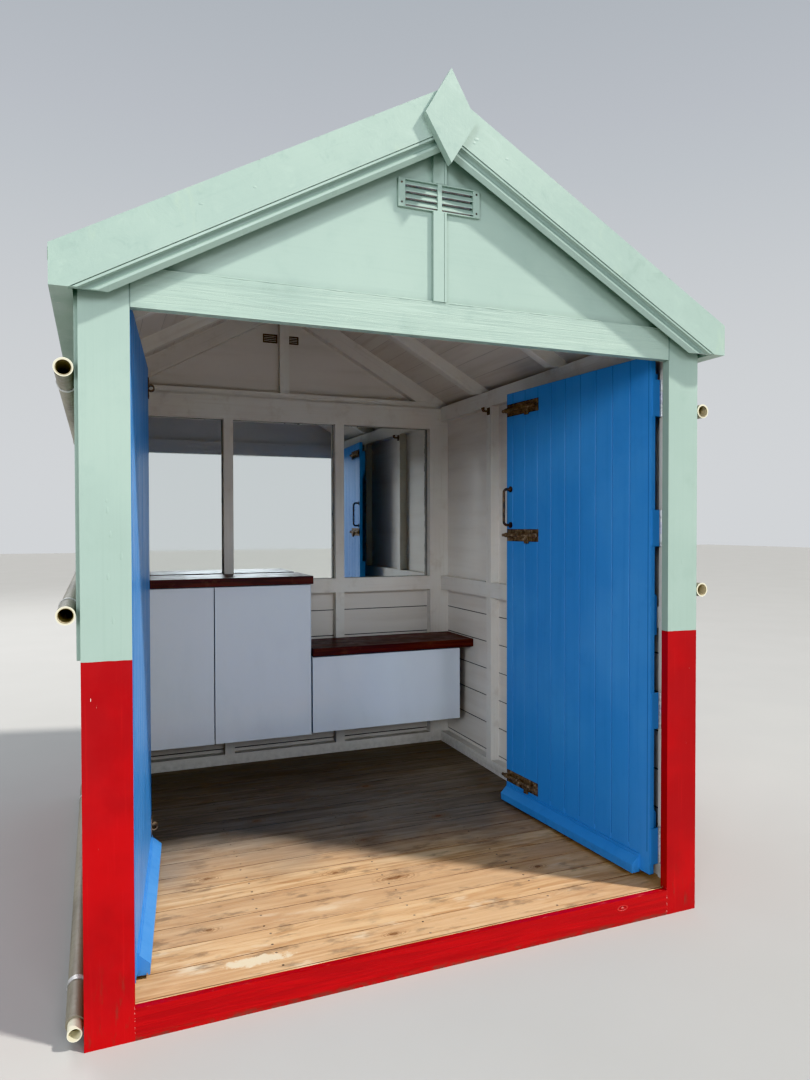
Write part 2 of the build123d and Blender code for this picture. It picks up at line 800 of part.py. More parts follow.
def weatherboard():
    """The moulded board across the foot of the door, with a sloping top and a drip groove."""
    hinge_end = post_inner_x - weatherboard_post_gap
    free_end = door_free_x + weatherboard_free_gap
    low, high = weatherboard_bottom, weatherboard_bottom + weatherboard_height
    front = door_face_y - weatherboard_depth
    top_front = door_face_y - weatherboard_top_depth
    quirk_z = high - weatherboard_top_height
    groove_front = front + drip_groove_setback
    groove_back = groove_front + drip_groove_width
    outline = [(door_face_y, low), (groove_back, low), (groove_back, low + drip_groove_depth),
               (groove_front, low + drip_groove_depth), (groove_front, low),
               (front + weatherboard_undercut, low), (front, low + weatherboard_nose_height),
               (top_front - weatherboard_quirk, quirk_z),
               (top_front, quirk_z), (top_front, high), (door_face_y, high)]
    return along_x(outline, free_end, hinge_end)


save("door_right", hang_right(door_leaf()))
save("door_left", hang_left(door_leaf()))
save("weatherboard_right", hang_right(weatherboard()))
save("weatherboard_left", hang_left(weatherboard()))

# Butt hinges, with the outer knuckles and the pin on the frame and the middle knuckle on the door
knuckle_third = hinge_height / 3
leaf_back = pin_y - hinge_leaf_setback
leaf_front = leaf_back - hinge_leaf_width
hinge_places = [door_bottom + rise for rise in hinge_rises] + [door_top - drop for drop in hinge_drops]


def frame_leaf(z):
    """The fixed half of a hinge on the face of the hinge stud."""
    low, high = z - hinge_height / 2, z + hinge_height / 2
    leaf = box(hinge_face_x - hinge_leaf_thick, hinge_face_x, leaf_front, pin_y, low, high)
    leaf -= rod_z(pin_x, pin_y, low + knuckle_third, high - knuckle_third, knuckle_radius + knuckle_joint_gap)
    leaf += rod_z(pin_x, pin_y, low, low + knuckle_third, knuckle_radius)
    leaf += rod_z(pin_x, pin_y, high - knuckle_third, high, knuckle_radius)
    return leaf + rod_z(pin_x, pin_y, low, high, hinge_pin_radius)


def door_hinge_leaf(z):
    """The moving half of a hinge on the edge of the door."""
    low, high = z - hinge_height / 2, z + hinge_height / 2
    turn_low, turn_high = low + knuckle_third + knuckle_joint_gap, high - knuckle_third - knuckle_joint_gap
    leaf = box(door_hinge_x, door_hinge_x + hinge_leaf_thick, leaf_front, leaf_back, low, high)
    for z0, z1 in ((low, turn_low), (turn_high, high)):
        leaf -= rod_z(pin_x, pin_y, z0, z1, knuckle_radius + knuckle_joint_gap)
    leaf += rod_z(pin_x, pin_y, turn_low, turn_high, knuckle_radius)
    return leaf - rod_z(pin_x, pin_y, low, high, hinge_pin_radius + hinge_pin_clearance)


frame_leaves = [frame_leaf(z) for z in hinge_places]
save("hinge_frame_leaves", *frame_leaves, *[other_side(leaf) for leaf in frame_leaves])
save("hinge_leaves_right", *[hang_right(door_hinge_leaf(z)) for z in hinge_places])
save("hinge_leaves_left", *[hang_left(door_hinge_leaf(z)) for z in hinge_places])

# Pad bolts on the right door, keeps on the left one, and the pull handle
plate_front_y = door_face_y - bolt_plate_thick
rod_y_centre = plate_front_y - bolt_rod_stand - bolt_rod_radius
bolt_places = (door_bottom + bolt_foot_rise, door_top - bolt_middle_drop, door_top - bolt_head_drop)
handle_bottom = door_top - handle_drop
handle_top = handle_bottom + handle_height


def bolt_plate(z):
    """The fixed part of a pad bolt: a plate with three guide straps."""
    plate_x = door_free_x + bolt_plate_inset
    plate = box(plate_x, plate_x + bolt_plate_length, plate_front_y, door_face_y,
                z - bolt_plate_height / 2, z + bolt_plate_height / 2)
    bore = bolt_rod_radius + bolt_rod_clearance
    outer = bore + strap_wall
    for inset in strap_insets:
        x0, x1 = door_free_x + inset - strap_width / 2, door_free_x + inset + strap_width / 2
        strap = rod_x(x0, x1, rod_y_centre, z, outer) + box(x0, x1, rod_y_centre, plate_front_y,
                                                           z - outer, z + outer)
        strap &= box(x0, x1, rod_y_centre - outer, plate_front_y, z - outer, z + outer)
        plate += strap - rod_x(x0, x1, rod_y_centre, z, bore)
    return plate


def bolt_rod(z):
    """The sliding part of a pad bolt: a round rod with a drop lug."""
    rod = rod_x(door_free_x - bolt_rod_throw, door_free_x + bolt_rod_tail, rod_y_centre, z, bolt_rod_radius)
    lug_x0 = door_free_x + lug_inset - lug_width / 2
    lug_x1 = lug_x0 + lug_width
    lug_back = rod_y_centre + lug_thick / 2
    lug = box(lug_x0, lug_x1, lug_back - lug_thick, lug_back, z - lug_drop, z)
    hole_z = z - lug_drop + lug_width / 2
    return rod + lug - rod_y((lug_x0 + lug_x1) / 2, lug_back - lug_thick, lug_back, hole_z, lug_hole_radius)


def bolt_keep(z):
    """The keep on the left door that the rod shoots into, drawn on the right-hand leaf."""
    x0 = door_free_x + weatherboard_free_gap
    x1 = x0 + keep_width
    keep = box(x0, x1, plate_front_y, door_face_y, z - keep_height / 2, z + keep_height / 2)
    keep += rod_x(x0, x1, rod_y_centre, z, keep_outer_radius) & box(
        x0, x1, rod_y_centre - keep_outer_radius, plate_front_y, z - keep_outer_radius, z + keep_outer_radius)
    return keep - rod_x(x0, x1, rod_y_centre, z, keep_bore_radius)


def pull_handle():
    """A round bar bent to a D on two round feet."""
    x = door_free_x + handle_inset
    y = door_face_y - handle_reach
    path = FilletPolyline((x, door_face_y, handle_bottom), (x, y, handle_bottom),
                          (x, y, handle_top), (x, door_face_y, handle_top), radius=handle_bend)
    start = Plane(origin=(x, door_face_y, handle_bottom), z_dir=(0, -1, 0))
    bar = sweep(start * Circle(handle_radius), path=path)
    for z in (handle_bottom, handle_top):
        bar += rod_y(x, door_face_y - handle_foot_thick, door_face_y, z, handle_foot_radius)
    return bar


save("pad_bolt_plates", *[hang_right(bolt_plate(z)) for z in bolt_places])
for name, z in zip(("bolt_bottom", "bolt_middle", "bolt_top"), bolt_places):
    save(name, hang_right(bolt_rod(z)))
save("bolt_keeps", *[hang_left(bolt_keep(z)) for z in (bolt_places[0], bolt_places[-1])])
save("pull_handle", hang_right(pull_handle()))


# Coat hook on the right wall
def coat_hook():
    """A small plate with two upturned prongs."""
    y_middle = stud_places[-1]
    hook_middle_z = wall_plate_bottom - hook_drop
    face = frame_x - hook_plate_thick
    hook = box(face, frame_x, y_middle - hook_plate_width / 2, y_middle + hook_plate_width / 2,
               hook_middle_z - hook_plate_height / 2, hook_middle_z + hook_plate_height / 2)
    for y in (y_middle - hook_spread, y_middle + hook_spread):
        path = FilletPolyline((face, y, hook_middle_z), (face - hook_reach, y, hook_middle_z),
                              (face - hook_reach, y, hook_middle_z + hook_rise), radius=hook_bend)
        start = Plane(origin=(face, y, hook_middle_z), z_dir=(-1, 0, 0))
        hook += sweep(start * Circle(hook_radius), path=path)
        hook += Pos(face - hook_reach, y, hook_middle_z + hook_rise) * Sphere(hook_ball_radius)
    return hook


save("coat_hook", coat_hook())

# Storage tubes and their clips
tube_x = panel_outer_x + tube_gap + tube_radius
ground_tube_x = boards_outer_x + tube_gap + tube_radius
tube_back = shell_depth - tube_end_gap
tube_places = (panel_bottom + lower_tube_rise, eave_bottom - upper_tube_drop)


def tube(x, y0, y1, z):
    """An open tube along the side wall."""
    return rod_y(x, y0, y1, z, tube_radius) - rod_y(x, y0, y1, z, tube_radius - tube_wall)


def ground_tube():
    """The tube at the foot of the wall, with a short liner standing out of its front end."""
    bore = tube_radius - tube_wall
    liner_front = ground_tube_front - collar_length
    liner = rod_y(ground_tube_x, liner_front, ground_tube_front + collar_length, ground_tube_z, bore)
    liner -= rod_y(ground_tube_x, liner_front, ground_tube_front + collar_length, ground_tube_z,
                   bore - collar_wall)
    back = shell_depth - ground_tube_end_gap
    return tube(ground_tube_x, ground_tube_front, back, ground_tube_z) + liner


def tube_clip(wall_x, x, y, z, foot_below):
    """A saddle strap over a tube, with a foot flat on the wall above and below it."""
    inner = tube_radius + clip_clearance
    outer = inner + clip_wall
    y0, y1 = y - clip_width / 2, y + clip_width / 2
    clip = rod_y(x, y0, y1, z, outer)
    clip += box(wall_x, wall_x + clip_wall, y0, y1, z - foot_below, z + clip_foot)
    clip -= rod_y(x, y0, y1, z, inner)
    clip -= box(wall_x, wall_x + clip_wall, y0, y1, z - clip_web_gap, z + clip_web_gap)
    return clip & box(wall_x, x + outer, y0, y1, z - foot_below, z + clip_foot)


clip_places = (clip_end_distance, shell_depth - clip_end_distance)
tubes = [tube(tube_x, tube_front, tube_back, z) for z in tube_places]
clips = [tube_clip(panel_outer_x, tube_x, y, z, clip_foot) for y in clip_places for z in tube_places]
ground_foot = ground_tube_z - boards_bottom
ground_clips = [tube_clip(boards_outer_x, ground_tube_x, y, ground_tube_z, ground_foot) for y in clip_places]
save("side_tubes", *tubes, *[other_side(piece) for piece in tubes], other_side(ground_tube()))
save("tube_clips", *clips, *[other_side(piece) for piece in clips + ground_clips])
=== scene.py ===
"""The beach hut dressed for its picture: paint, timber, iron, glass and the small fixings."""

import math
import random

import bmesh
import bpy
from mathutils import Matrix, Vector


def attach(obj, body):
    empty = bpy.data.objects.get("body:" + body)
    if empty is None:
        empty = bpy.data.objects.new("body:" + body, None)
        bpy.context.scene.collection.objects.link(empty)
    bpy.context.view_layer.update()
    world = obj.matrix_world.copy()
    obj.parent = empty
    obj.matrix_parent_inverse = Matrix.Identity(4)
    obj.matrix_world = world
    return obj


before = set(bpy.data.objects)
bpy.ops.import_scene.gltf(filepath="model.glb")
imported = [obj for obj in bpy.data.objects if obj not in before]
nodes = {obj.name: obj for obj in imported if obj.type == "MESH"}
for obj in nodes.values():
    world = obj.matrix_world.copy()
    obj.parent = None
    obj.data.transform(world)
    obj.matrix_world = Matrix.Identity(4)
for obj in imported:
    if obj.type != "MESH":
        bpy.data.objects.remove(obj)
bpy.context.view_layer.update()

# Places in metres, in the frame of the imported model, first of the front and the roof
FRONT = -1.0335
POST_IN = 0.875
HEADER_TOP = 2.034
RIDGE, PITCH = 2.63977, math.radians(29.2)
DECK_BOARD = 0.112
VENT_Z, VENT_SCREWS_X = RIDGE - 0.295, (-0.115, 0.131)

# The walls and the mirrors
PAINT_LINE, PAINT_SLANT = 1.000, -0.010
BOARD_FOOT, BOARD_PITCH = 0.012, 0.145
LINING_X, LINING_Y = 0.9825, 1.0275
MIRROR_IN, MIRROR_OUT, MIRROR_MIDDLE = 0.334, 0.860, 0.282
MIRROR_LOW, MIRROR_HIGH = 1.064, 1.929

# The floor and the bearers under it
FLOOR, FLOOR_FRONT, FLOOR_PITCH = 0.084, FRONT + 0.031, 0.12
BEARER_OUT, BEARERS = 0.940, 5

# The doors, their hinge pins and boards, and the heights of the bolts
PIN_X, PIN_Y = 0.915, -0.9515
OPEN_RIGHT, OPEN_LEFT = math.radians(85.4), math.radians(83.8)
DOOR_FACE, DOOR_FREE = FRONT + 0.037, 0.004
PLATE_FACE = DOOR_FACE - 0.003
DOOR_JOINT, DOOR_PITCH = 0.112, 0.094
WEATHERBOARD_TOP = 0.185
BOLT_LOW, BOLT_MIDDLE, BOLT_HIGH = 0.205, 1.316, 1.885

# The side tubes
TUBE_X, TUBE_LOW, TUBE_HIGH = 1.0345, 1.130, 1.761
TUBE_BORE, TUBE_FRONT, TUBE_BACK = 0.0190, FRONT + 0.0108, FRONT + 2.0742
LINER_END = FRONT + 0.0545

# Heads of screws and nails: radius, rise and, in screws, the share of the rise that is dished
VENT_SCREW, BOLT_SCREW = (0.0032, 0.0012, 0.5), (0.0038, 0.0014, 0.5)
FLOOR_NAIL, CLOUT = (0.0042, 0.0010), (0.0048, 0.0009)

# Knots in the floor boards: place, and half length and half width of their rings
KNOTS = [
    (0.031, -0.584, 0.100, 0.040), (-0.106, -0.940, 0.052, 0.024), (-0.156, -0.464, 0.070, 0.034),
    (0.036, -0.224, 0.070, 0.034), (-0.600, -0.340, 0.060, 0.030), (0.420, -0.100, 0.064, 0.032),
    (-0.330, 0.140, 0.056, 0.028), (0.560, -0.700, 0.050, 0.026), (0.250, 0.380, 0.064, 0.030),
    (-0.640, -0.700, 0.044, 0.024),
]


def srgb(red, green, blue):
    """A colour given as it shows on a screen, for a node socket."""
    def linear(value):
        value /= 255
        return value / 12.92 if value <= 0.04045 else ((value + 0.055) / 1.055) ** 2.4
    return linear(red), linear(green), linear(blue), 1.0


MINT = srgb(153, 173, 162)
MINT_LIGHT = srgb(166, 185, 173)
MINT_DEEP = srgb(138, 160, 149)
RED = srgb(172, 4, 10)
RED_DEEP = srgb(150, 2, 8)
RED_LIGHT = srgb(208, 42, 42)
BLUE = srgb(76, 140, 206)
BLUE_DEEP = srgb(60, 122, 188)
BLUE_LIGHT = srgb(104, 166, 224)
CREAM = srgb(228, 222, 214)
CREAM_LIGHT = srgb(232, 231, 224)
CREAM_DEEP = srgb(202, 192, 180)
PRIMER = srgb(226, 218, 208)
GRIME = srgb(74, 68, 58)
# Green in painted shade, for the joints where the posts meet the header
JOINT_SHADE = srgb(64, 84, 78)

# Paints: the tone between, the light one and the deep one
MINTS = (MINT, MINT_LIGHT, MINT_DEEP)
BLUES = (BLUE, BLUE_LIGHT, BLUE_DEEP)
CREAMS = (CREAM, CREAM_LIGHT, CREAM_DEEP)


# Node helpers
class Shader:
    """One node material while it is put together."""

    def __init__(self, name):
        self.material = bpy.data.materials.new(name)
        self.material.use_nodes = True
        self.nodes = self.material.node_tree.nodes
        self.links = self.material.node_tree.links
        self.bsdf = self.nodes["Principled BSDF"]
        self.place = self.nodes.new("ShaderNodeTexCoord").outputs["Object"]
        split = self.nodes.new("ShaderNodeSeparateXYZ")
        self.links.new(self.place, split.inputs[0])
        self.x, self.y, self.z = split.outputs
        self.height = None

    def put(self, socket, value):
        """Links a socket or sets a plain value."""
        if isinstance(value, bpy.types.NodeSocket):
            self.links.new(value, socket)
        else:
            socket.default_value = value

    def math(self, kind, *values):
        node = self.nodes.new("ShaderNodeMath")
        node.operation = kind
        for socket, value in zip(node.inputs, values):
            self.put(socket, value)
        return node.outputs[0]

    def times(self, a, b):
        return self.math("MULTIPLY", a, b)

    def plus(self, a, b):
        return self.math("ADD", a, b)

    def minus(self, a, b):
        return self.math("SUBTRACT", a, b)

    def over(self, a, b):
        return self.math("DIVIDE", a, b)

    def larger(self, a, b):
        return self.math("MAXIMUM", a, b)

    def smaller(self, a, b):
        return self.math("MINIMUM", a, b)

    def above(self, a, b):
        """One where the first value is the larger, and nothing elsewhere."""
        return self.math("GREATER_THAN", a, b)

    def below(self, a, b):
        """One where the first value is the smaller, and nothing elsewhere."""
        return self.math("LESS_THAN", a, b)

    def size(self, a):
        return self.math("ABSOLUTE", a)

    def squares(self, a, b):
        return self.plus(self.times(a, a), self.times(b, b))

    def reach(self, a, b):
        """How far a point lies from the middle, by its two distances."""
        return self.math("SQRT", self.squares(a, b))

    def span(self, value, low, high, to_low=0.0, to_high=1.0, smooth=True):
        """Maps a range of values onto another, clamped."""
        node = self.nodes.new("ShaderNodeMapRange")
        node.interpolation_type = "SMOOTHSTEP" if smooth else "LINEAR"
        for socket, item in zip(node.inputs, (value, low, high, to_low, to_high)):
            self.put(socket, item)
        return node.outputs[0]

    def mix(self, factor, a, b):
        """Goes from the first colour to the second."""
        node = self.nodes.new("ShaderNodeMix")
        node.data_type = "RGBA"
        self.put(node.inputs[0], factor)
        self.put(node.inputs[6], a)
        self.put(node.inputs[7], b)
        return node.outputs[2]

    def combine(self, x, y, z):
        node = self.nodes.new("ShaderNodeCombineXYZ")
        for socket, value in zip(node.inputs, (x, y, z)):
            self.put(socket, value)
        return node.outputs[0]

    def under_ridge(self):
        """The height at which the slope through this point meets the middle of the hut."""
        return self.plus(self.z, self.times(self.size(self.x), math.tan(PITCH)))

    def grain(self, axis):
        """Coordinates whose first axis runs along the grain."""
        if axis == "y":
            return self.combine(self.y, self.x, self.z)
        if axis == "z":
            return self.combine(self.z, self.x, self.y)
        if axis == "slope":
            out = self.size(self.x)
            along = self.minus(self.times(out, math.cos(PITCH)), self.times(self.z, math.sin(PITCH)))
            across = self.plus(self.times(out, math.sin(PITCH)), self.times(self.z, math.cos(PITCH)))
            return self.combine(along, across, self.plus(self.y, self.math("SIGN", self.x)))
        return self.place

    def scaled(self, vector, scale, offset=None):
        node = self.nodes.new("ShaderNodeMapping")
        self.put(node.inputs[0], vector)
        node.inputs[3].default_value = scale
        if offset is not None:
            self.put(node.inputs[1], offset)
        return node.outputs[0]

    def noise(self, vector, scale, detail=4.0, rough=0.55, twist=0.0):
        node = self.nodes.new("ShaderNodeTexNoise")
        self.put(node.inputs["Vector"], vector)
        node.inputs["Scale"].default_value = scale
        node.inputs["Detail"].default_value = detail
        node.inputs["Roughness"].default_value = rough
        node.inputs["Distortion"].default_value = twist
        return node.outputs[0]

    def streaks(self, vector, scale, detail=4.0, rough=0.55, twist=0.0, offset=None):
        """Noise with a scale of its own along each axis."""
        return self.noise(self.scaled(vector, scale, offset), 1.0, detail, rough, twist)

    def grit(self, scale):
        """A grey of its own for each small cell."""
        cells = self.nodes.new("ShaderNodeTexVoronoi")
        self.put(cells.inputs["Vector"], self.place)
        cells.inputs["Scale"].default_value = scale
        grey = self.nodes.new("ShaderNodeRGBToBW")
        self.put(grey.inputs[0], cells.outputs["Color"])
        return grey.outputs[0]

    def chance(self, value):
        """A fixed random number for each whole number."""
        node = self.nodes.new("ShaderNodeTexWhiteNoise")
        node.noise_dimensions = "1D"
        self.put(node.inputs["W"], value)
        return node.outputs["Value"]

    def raise_by(self, value, amount):
        """Adds to the relief, in metres."""
        part = self.times(value, amount)
        self.height = part if self.height is None else self.plus(self.height, part)

    def gloss(self, scale, low, high):
        """Roughness that drifts between two values."""
        return self.span(self.noise(self.place, scale, 3.0), 0.3, 0.7, low, high)

    def done(self, colour, rough, metal=0.0, coat=0.0, coat_rough=0.1, level=0.5):
        """Links the finish and gives back the material."""
        self.put(self.bsdf.inputs["Base Color"], colour)
        self.put(self.bsdf.inputs["Roughness"], rough)
        self.put(self.bsdf.inputs["Metallic"], metal)
        self.bsdf.inputs["Coat Weight"].default_value = coat
        self.bsdf.inputs["Coat Roughness"].default_value = coat_rough
        self.bsdf.inputs["Specular IOR Level"].default_value = level
        if self.height is not None:
            bump = self.nodes.new("ShaderNodeBump")
            bump.inputs["Strength"].default_value = 1.0
            bump.inputs["Distance"].default_value = 1.0
            self.links.new(self.height, bump.inputs["Height"])
            self.links.new(bump.outputs[0], self.bsdf.inputs["Normal"])
        return self.material


# Layers that several materials share
def brushed(shader, axis, tones, strength=1.0):
    """Brushed gloss paint on timber: drifts of tone, brush lines along the grain and a soft orange peel."""
    base, light, deep = tones
    grain = shader.grain(axis)
    drift = shader.noise(grain, 2.1, 3.0)
    patch = shader.noise(grain, 11.0, 5.0, 0.6)
    lines = shader.streaks(grain, (2.2, 95.0, 95.0), 4.0, 0.6)
    coarse = shader.streaks(grain, (0.9, 26.0, 26.0), 3.0, 0.5, 0.4)
    colour = shader.mix(shader.span(drift, 0.36, 0.68, 0.0, 0.65 * strength), base, light)
    colour = shader.mix(shader.span(patch, 0.52, 0.78, 0.0, 0.45 * strength), colour, deep)
    colour = shader.mix(shader.span(lines, 0.50, 0.80, 0.0, 0.30 * strength), colour, deep)
    shader.raise_by(lines, 0.00034 * strength)
    shader.raise_by(coarse, 0.0005 * strength)
    shader.raise_by(shader.noise(shader.place, 260.0, 2.0), 0.00006)
    return colour


def chipped(shader, colour, amount, mask=1.0, scale=38.0, under=PRIMER):
    """Small flakes where the paint has come away."""
    flake = shader.noise(shader.place, scale, 6.0, 0.7, 0.6)
    spot = shader.times(shader.span(flake, 0.70 - amount, 0.72 - amount), mask)
    shader.raise_by(spot, -0.0006)
    return shader.mix(spot, colour, under)


def mottled(shader, colour):
    """Chalky patches and old brush ends under the top coat."""
    patch = shader.noise(shader.place, 17.0, 6.0, 0.68, 0.5)
    shader.raise_by(patch, 0.0011)
    colour = shader.mix(shader.span(patch, 0.54, 0.70, 0.0, 0.5), colour, MINT_DEEP)
    return shader.mix(shader.span(patch, 0.46, 0.32, 0.0, 0.4), colour, MINT_LIGHT)


def two_tone(shader, axis, strength):
    """Green above and red below, with the hand-cut line between them."""
    green = brushed(shader, axis, MINTS, strength)
    grain = shader.grain(axis)
    drift = shader.noise(grain, 3.3, 4.0)
    red = shader.mix(shader.span(drift, 0.38, 0.66), RED_DEEP, RED)
    fine = shader.streaks(grain, (3.0, 120.0, 120.0))
    red = shader.mix(shader.span(fine, 0.56, 0.80, 0.0, 0.30), red, RED_LIGHT)
    line = shader.plus(PAINT_LINE, shader.times(shader.x, PAINT_SLANT))
    wobble = shader.times(shader.minus(shader.noise(shader.place, 24.0, 2.0), 0.5), 0.004)
    return shader.mix(shader.above(shader.z, shader.plus(line, wobble)), red, green)


def shiplap(shader, grain, streak):
    """Red boards, each in its own tone, streaked and splashed with mud at the foot."""
    board = shader.math("FLOOR", shader.over(shader.minus(shader.z, BOARD_FOOT), BOARD_PITCH))
    drift = shader.streaks(grain, (1.4, 30.0, 30.0))
    tone = shader.plus(shader.times(shader.chance(board), 0.35), shader.times(drift, 0.8))
    colour = shader.mix(shader.span(tone, 0.35, 0.85), RED_DEEP, RED)
    fine = shader.streaks(grain, (3.0, 140.0, 140.0))
    colour = shader.mix(shader.span(fine, 0.60, 0.84, 0.0, 0.35), colour, RED_LIGHT)
    shader.raise_by(fine, 0.0005)
    splash = shader.span(shader.z, 0.04, 0.28, 1.0, 0.0)
    mud = shader.noise(shader.place, 26.0, 5.0, 0.65)
    colour = shader.mix(shader.times(splash, shader.span(mud, 0.42, 0.70, 0.0, 0.6)), colour, GRIME)
    return shader.mix(shader.span(streak, 0.58, 0.80, 0.0, 0.10), colour, RED_DEEP)


# Materials
def mint_paint(name, axis, strength=1.0, chips=0.0):
    """A plain piece in brushed green paint."""
    shader = Shader(name)
    colour = brushed(shader, axis, MINTS, strength)
    if chips:
        colour = chipped(shader, colour, chips)
    return shader.done(colour, shader.gloss(9.0, 0.34, 0.52), level=0.45)


def post_paint():
    """Two-tone posts, scratched down their sides and worn at the foot and along their joint with the sill,
    with painted shade in their joint with the header.
    """
    shader = Shader("post_two_tone_paint")
    colour = two_tone(shader, "z", 0.7)
    out = shader.size(shader.x)
    low = shader.span(shader.z, 0.98, 0.90)
    side = shader.span(out, 0.945, 0.965)
    scratch = shader.streaks(shader.place, (150.0, 150.0, 26.0), 3.0, 0.5)
    mark = shader.times(shader.times(low, side), shader.span(scratch, 0.735, 0.75))
    colour = shader.mix(mark, colour, PRIMER)
    foot = shader.span(shader.z, 0.03, 0.30, 1.0, 0.0)
    scuff = shader.streaks(shader.place, (60.0, 60.0, 16.0), 5.0, 0.65)
    colour = shader.mix(shader.times(foot, shader.span(scuff, 0.52, 0.75, 0.0, 0.55)), colour, GRIME)
    joint = shader.span(shader.size(shader.minus(out, POST_IN)), 0.004, 0.0)
    at_sill = shader.times(joint, shader.span(shader.z, 0.10, 0.07))
    # Painted shade in the joint under the header
    header_joint_shade = shader.times(joint, shader.span(shader.z, 1.926, 1.930, 0.0, 0.8))
    flake = shader.noise(shader.place, 120.0, 4.0, 0.7)
    colour = shader.mix(shader.times(at_sill, shader.span(flake, 0.53, 0.60)), colour, PRIMER)
    colour = shader.mix(shader.times(header_joint_shade, 0.5), colour, JOINT_SHADE)
    return shader.done(colour, shader.gloss(8.0, 0.30, 0.50), level=0.45)


def header_paint():
    """Rough sawn timber under thick green paint, with painted shade in a fine joint at each post and cream
    inside.
    """
    shader = Shader("header_paint")
    colour = brushed(shader, "x", MINTS, 1.2)
    ribs = shader.streaks(shader.place, (1.6, 46.0, 46.0), 6.0, 0.7, 0.8)
    shader.raise_by(ribs, 0.0034)
    saw = shader.streaks(shader.place, (5.0, 130.0, 130.0), 4.0, 0.65, 0.3)
    shader.raise_by(saw, 0.0007)
    colour = shader.mix(shader.span(ribs, 0.52, 0.74, 0.0, 0.45), colour, MINT_DEEP)
    # Painted shade in the joint at each post
    ends = shader.span(shader.size(shader.x), POST_IN - 0.0022, POST_IN - 0.0012, 0.0, 0.8)
    colour = shader.mix(ends, colour, JOINT_SHADE)
    colour = shader.mix(shader.above(shader.y, FRONT + 0.0305), colour, CREAM)
    return shader.done(colour, 0.46, level=0.4)


def gable_paint():
    """The gable panel: green outside with dust along its foot, cream inside."""
    shader = Shader("gable_panel_paint")
    colour = brushed(shader, "x", MINTS, 0.6)
    colour = shader.mix(shader.above(shader.y, FRONT + 0.0195), colour, CREAM)
    low = shader.span(shader.z, HEADER_TOP + 0.028, HEADER_TOP, 0.0, 0.2)
    colour = shader.mix(shader.times(low, shader.noise(shader.place, 30.0, 4.0)), colour, GRIME)
    return shader.done(colour, 0.42, level=0.45)


def barge_paint():
    """Smooth boards along the slope, a little chalked, with flaked edges along the top."""
    shader = Shader("bargeboard_paint")
    colour = mottled(shader, brushed(shader, "slope", MINTS, 0.7))
    edge = shader.span(shader.under_ridge(), RIDGE - 0.004, RIDGE + 0.004)
    colour = chipped(shader, colour, 0.05, edge, 60.0, srgb(150, 160, 140))
    stain = shader.streaks(shader.place, (14.0, 14.0, 5.0), 4.0, 0.6)
    colour = shader.mix(shader.span(stain, 0.60, 0.78, 0.0, 0.22), colour, srgb(186, 200, 160))
    return shader.done(colour, 0.42, level=0.45)


def finial_paint():
    """The finial, brushed up and down and chalked like the bargeboards."""
    shader = Shader("finial_paint")
    colour = mottled(shader, brushed(shader, "z", MINTS, 0.6))
    return shader.done(colour, 0.42, level=0.45)


def moulding_paint():
    """Glossy verge moulding with shade and dust in its cove."""
    shader = Shader("moulding_paint")
    colour = brushed(shader, "slope", MINTS, 0.5)
    below = shader.times(shader.minus(RIDGE, shader.under_ridge()), math.cos(PITCH))
    cove = shader.times(shader.span(below, 0.1165, 0.1185), shader.span(below, 0.1325, 0.1305))
    colour = shader.mix(shader.times(cove, 0.42), colour, srgb(84, 108, 100))
    return shader.done(colour, shader.gloss(9.0, 0.26, 0.38), level=0.45)


def vent_paint():
    """Green vent, darkened on its blades towards the back with painted shade."""
    shader = Shader("vent_paint")
    colour = brushed(shader, "x", MINTS, 0.5)
    # Painted shade on the blades towards the back, in the slots between them
    deep = shader.span(shader.y, FRONT + 0.0055, FRONT + 0.012)
    colour = shader.mix(shader.times(deep, 0.7), colour, srgb(48, 62, 58))
    return shader.done(colour, 0.55, level=0.35)


def wall_paint(name, axis, side, upper):
    """A wall skin that is painted outside and off-white inside."""
    shader = Shader(name)
    grain = shader.grain(axis)
    inner = shader.streaks(grain, (1.2, 14.0, 14.0))
    lining = shader.mix(shader.span(inner, 0.40, 0.80, 0.0, 0.4), CREAM, CREAM_DEEP)
    if upper:
        streak = shader.streaks(shader.place, (16.0, 16.0, 1.1), 5.0, 0.6)
        low = shader.span(shader.z, 1.60, 1.01, 0.15, 0.5)
        stained = shader.times(low, shader.span(streak, 0.50, 0.78))
        outside = shader.mix(stained, brushed(shader, axis, MINTS, 0.7), srgb(160, 178, 150))
    else:
        streak = shader.streaks(shader.place, (24.0, 24.0, 1.6))
        outside = shiplap(shader, grain, streak)
        part = shader.math("FRACT", shader.over(shader.minus(shader.z, BOARD_FOOT - 0.001), BOARD_PITCH))
        lining = shader.mix(shader.below(part, 0.030), lining, srgb(64, 58, 52))
    if side:
        within = shader.below(shader.size(shader.x), LINING_X)
    else:
        within = shader.below(shader.y, LINING_Y + 0.0045)
    colour = shader.mix(within, outside, lining)
    return shader.done(colour, shader.span(streak, 0.3, 0.7, 0.28, 0.42), level=0.5)


def lining_paint(name, axis):
    """Old off-white paint on the frame inside, yellowed and rubbed."""
    shader = Shader(name)
    colour = brushed(shader, axis, CREAMS)
    dust = shader.noise(shader.place, 7.0, 5.0, 0.6)
    colour = shader.mix(shader.span(dust, 0.54, 0.82, 0.0, 0.2), colour, srgb(188, 180, 164))
    foot = shader.span(shader.z, 0.17, 0.09, 0.0, 0.45)
    colour = shader.mix(shader.times(foot, shader.noise(shader.place, 40.0, 4.0)), colour, GRIME)
    return shader.done(colour, 0.48, level=0.4)


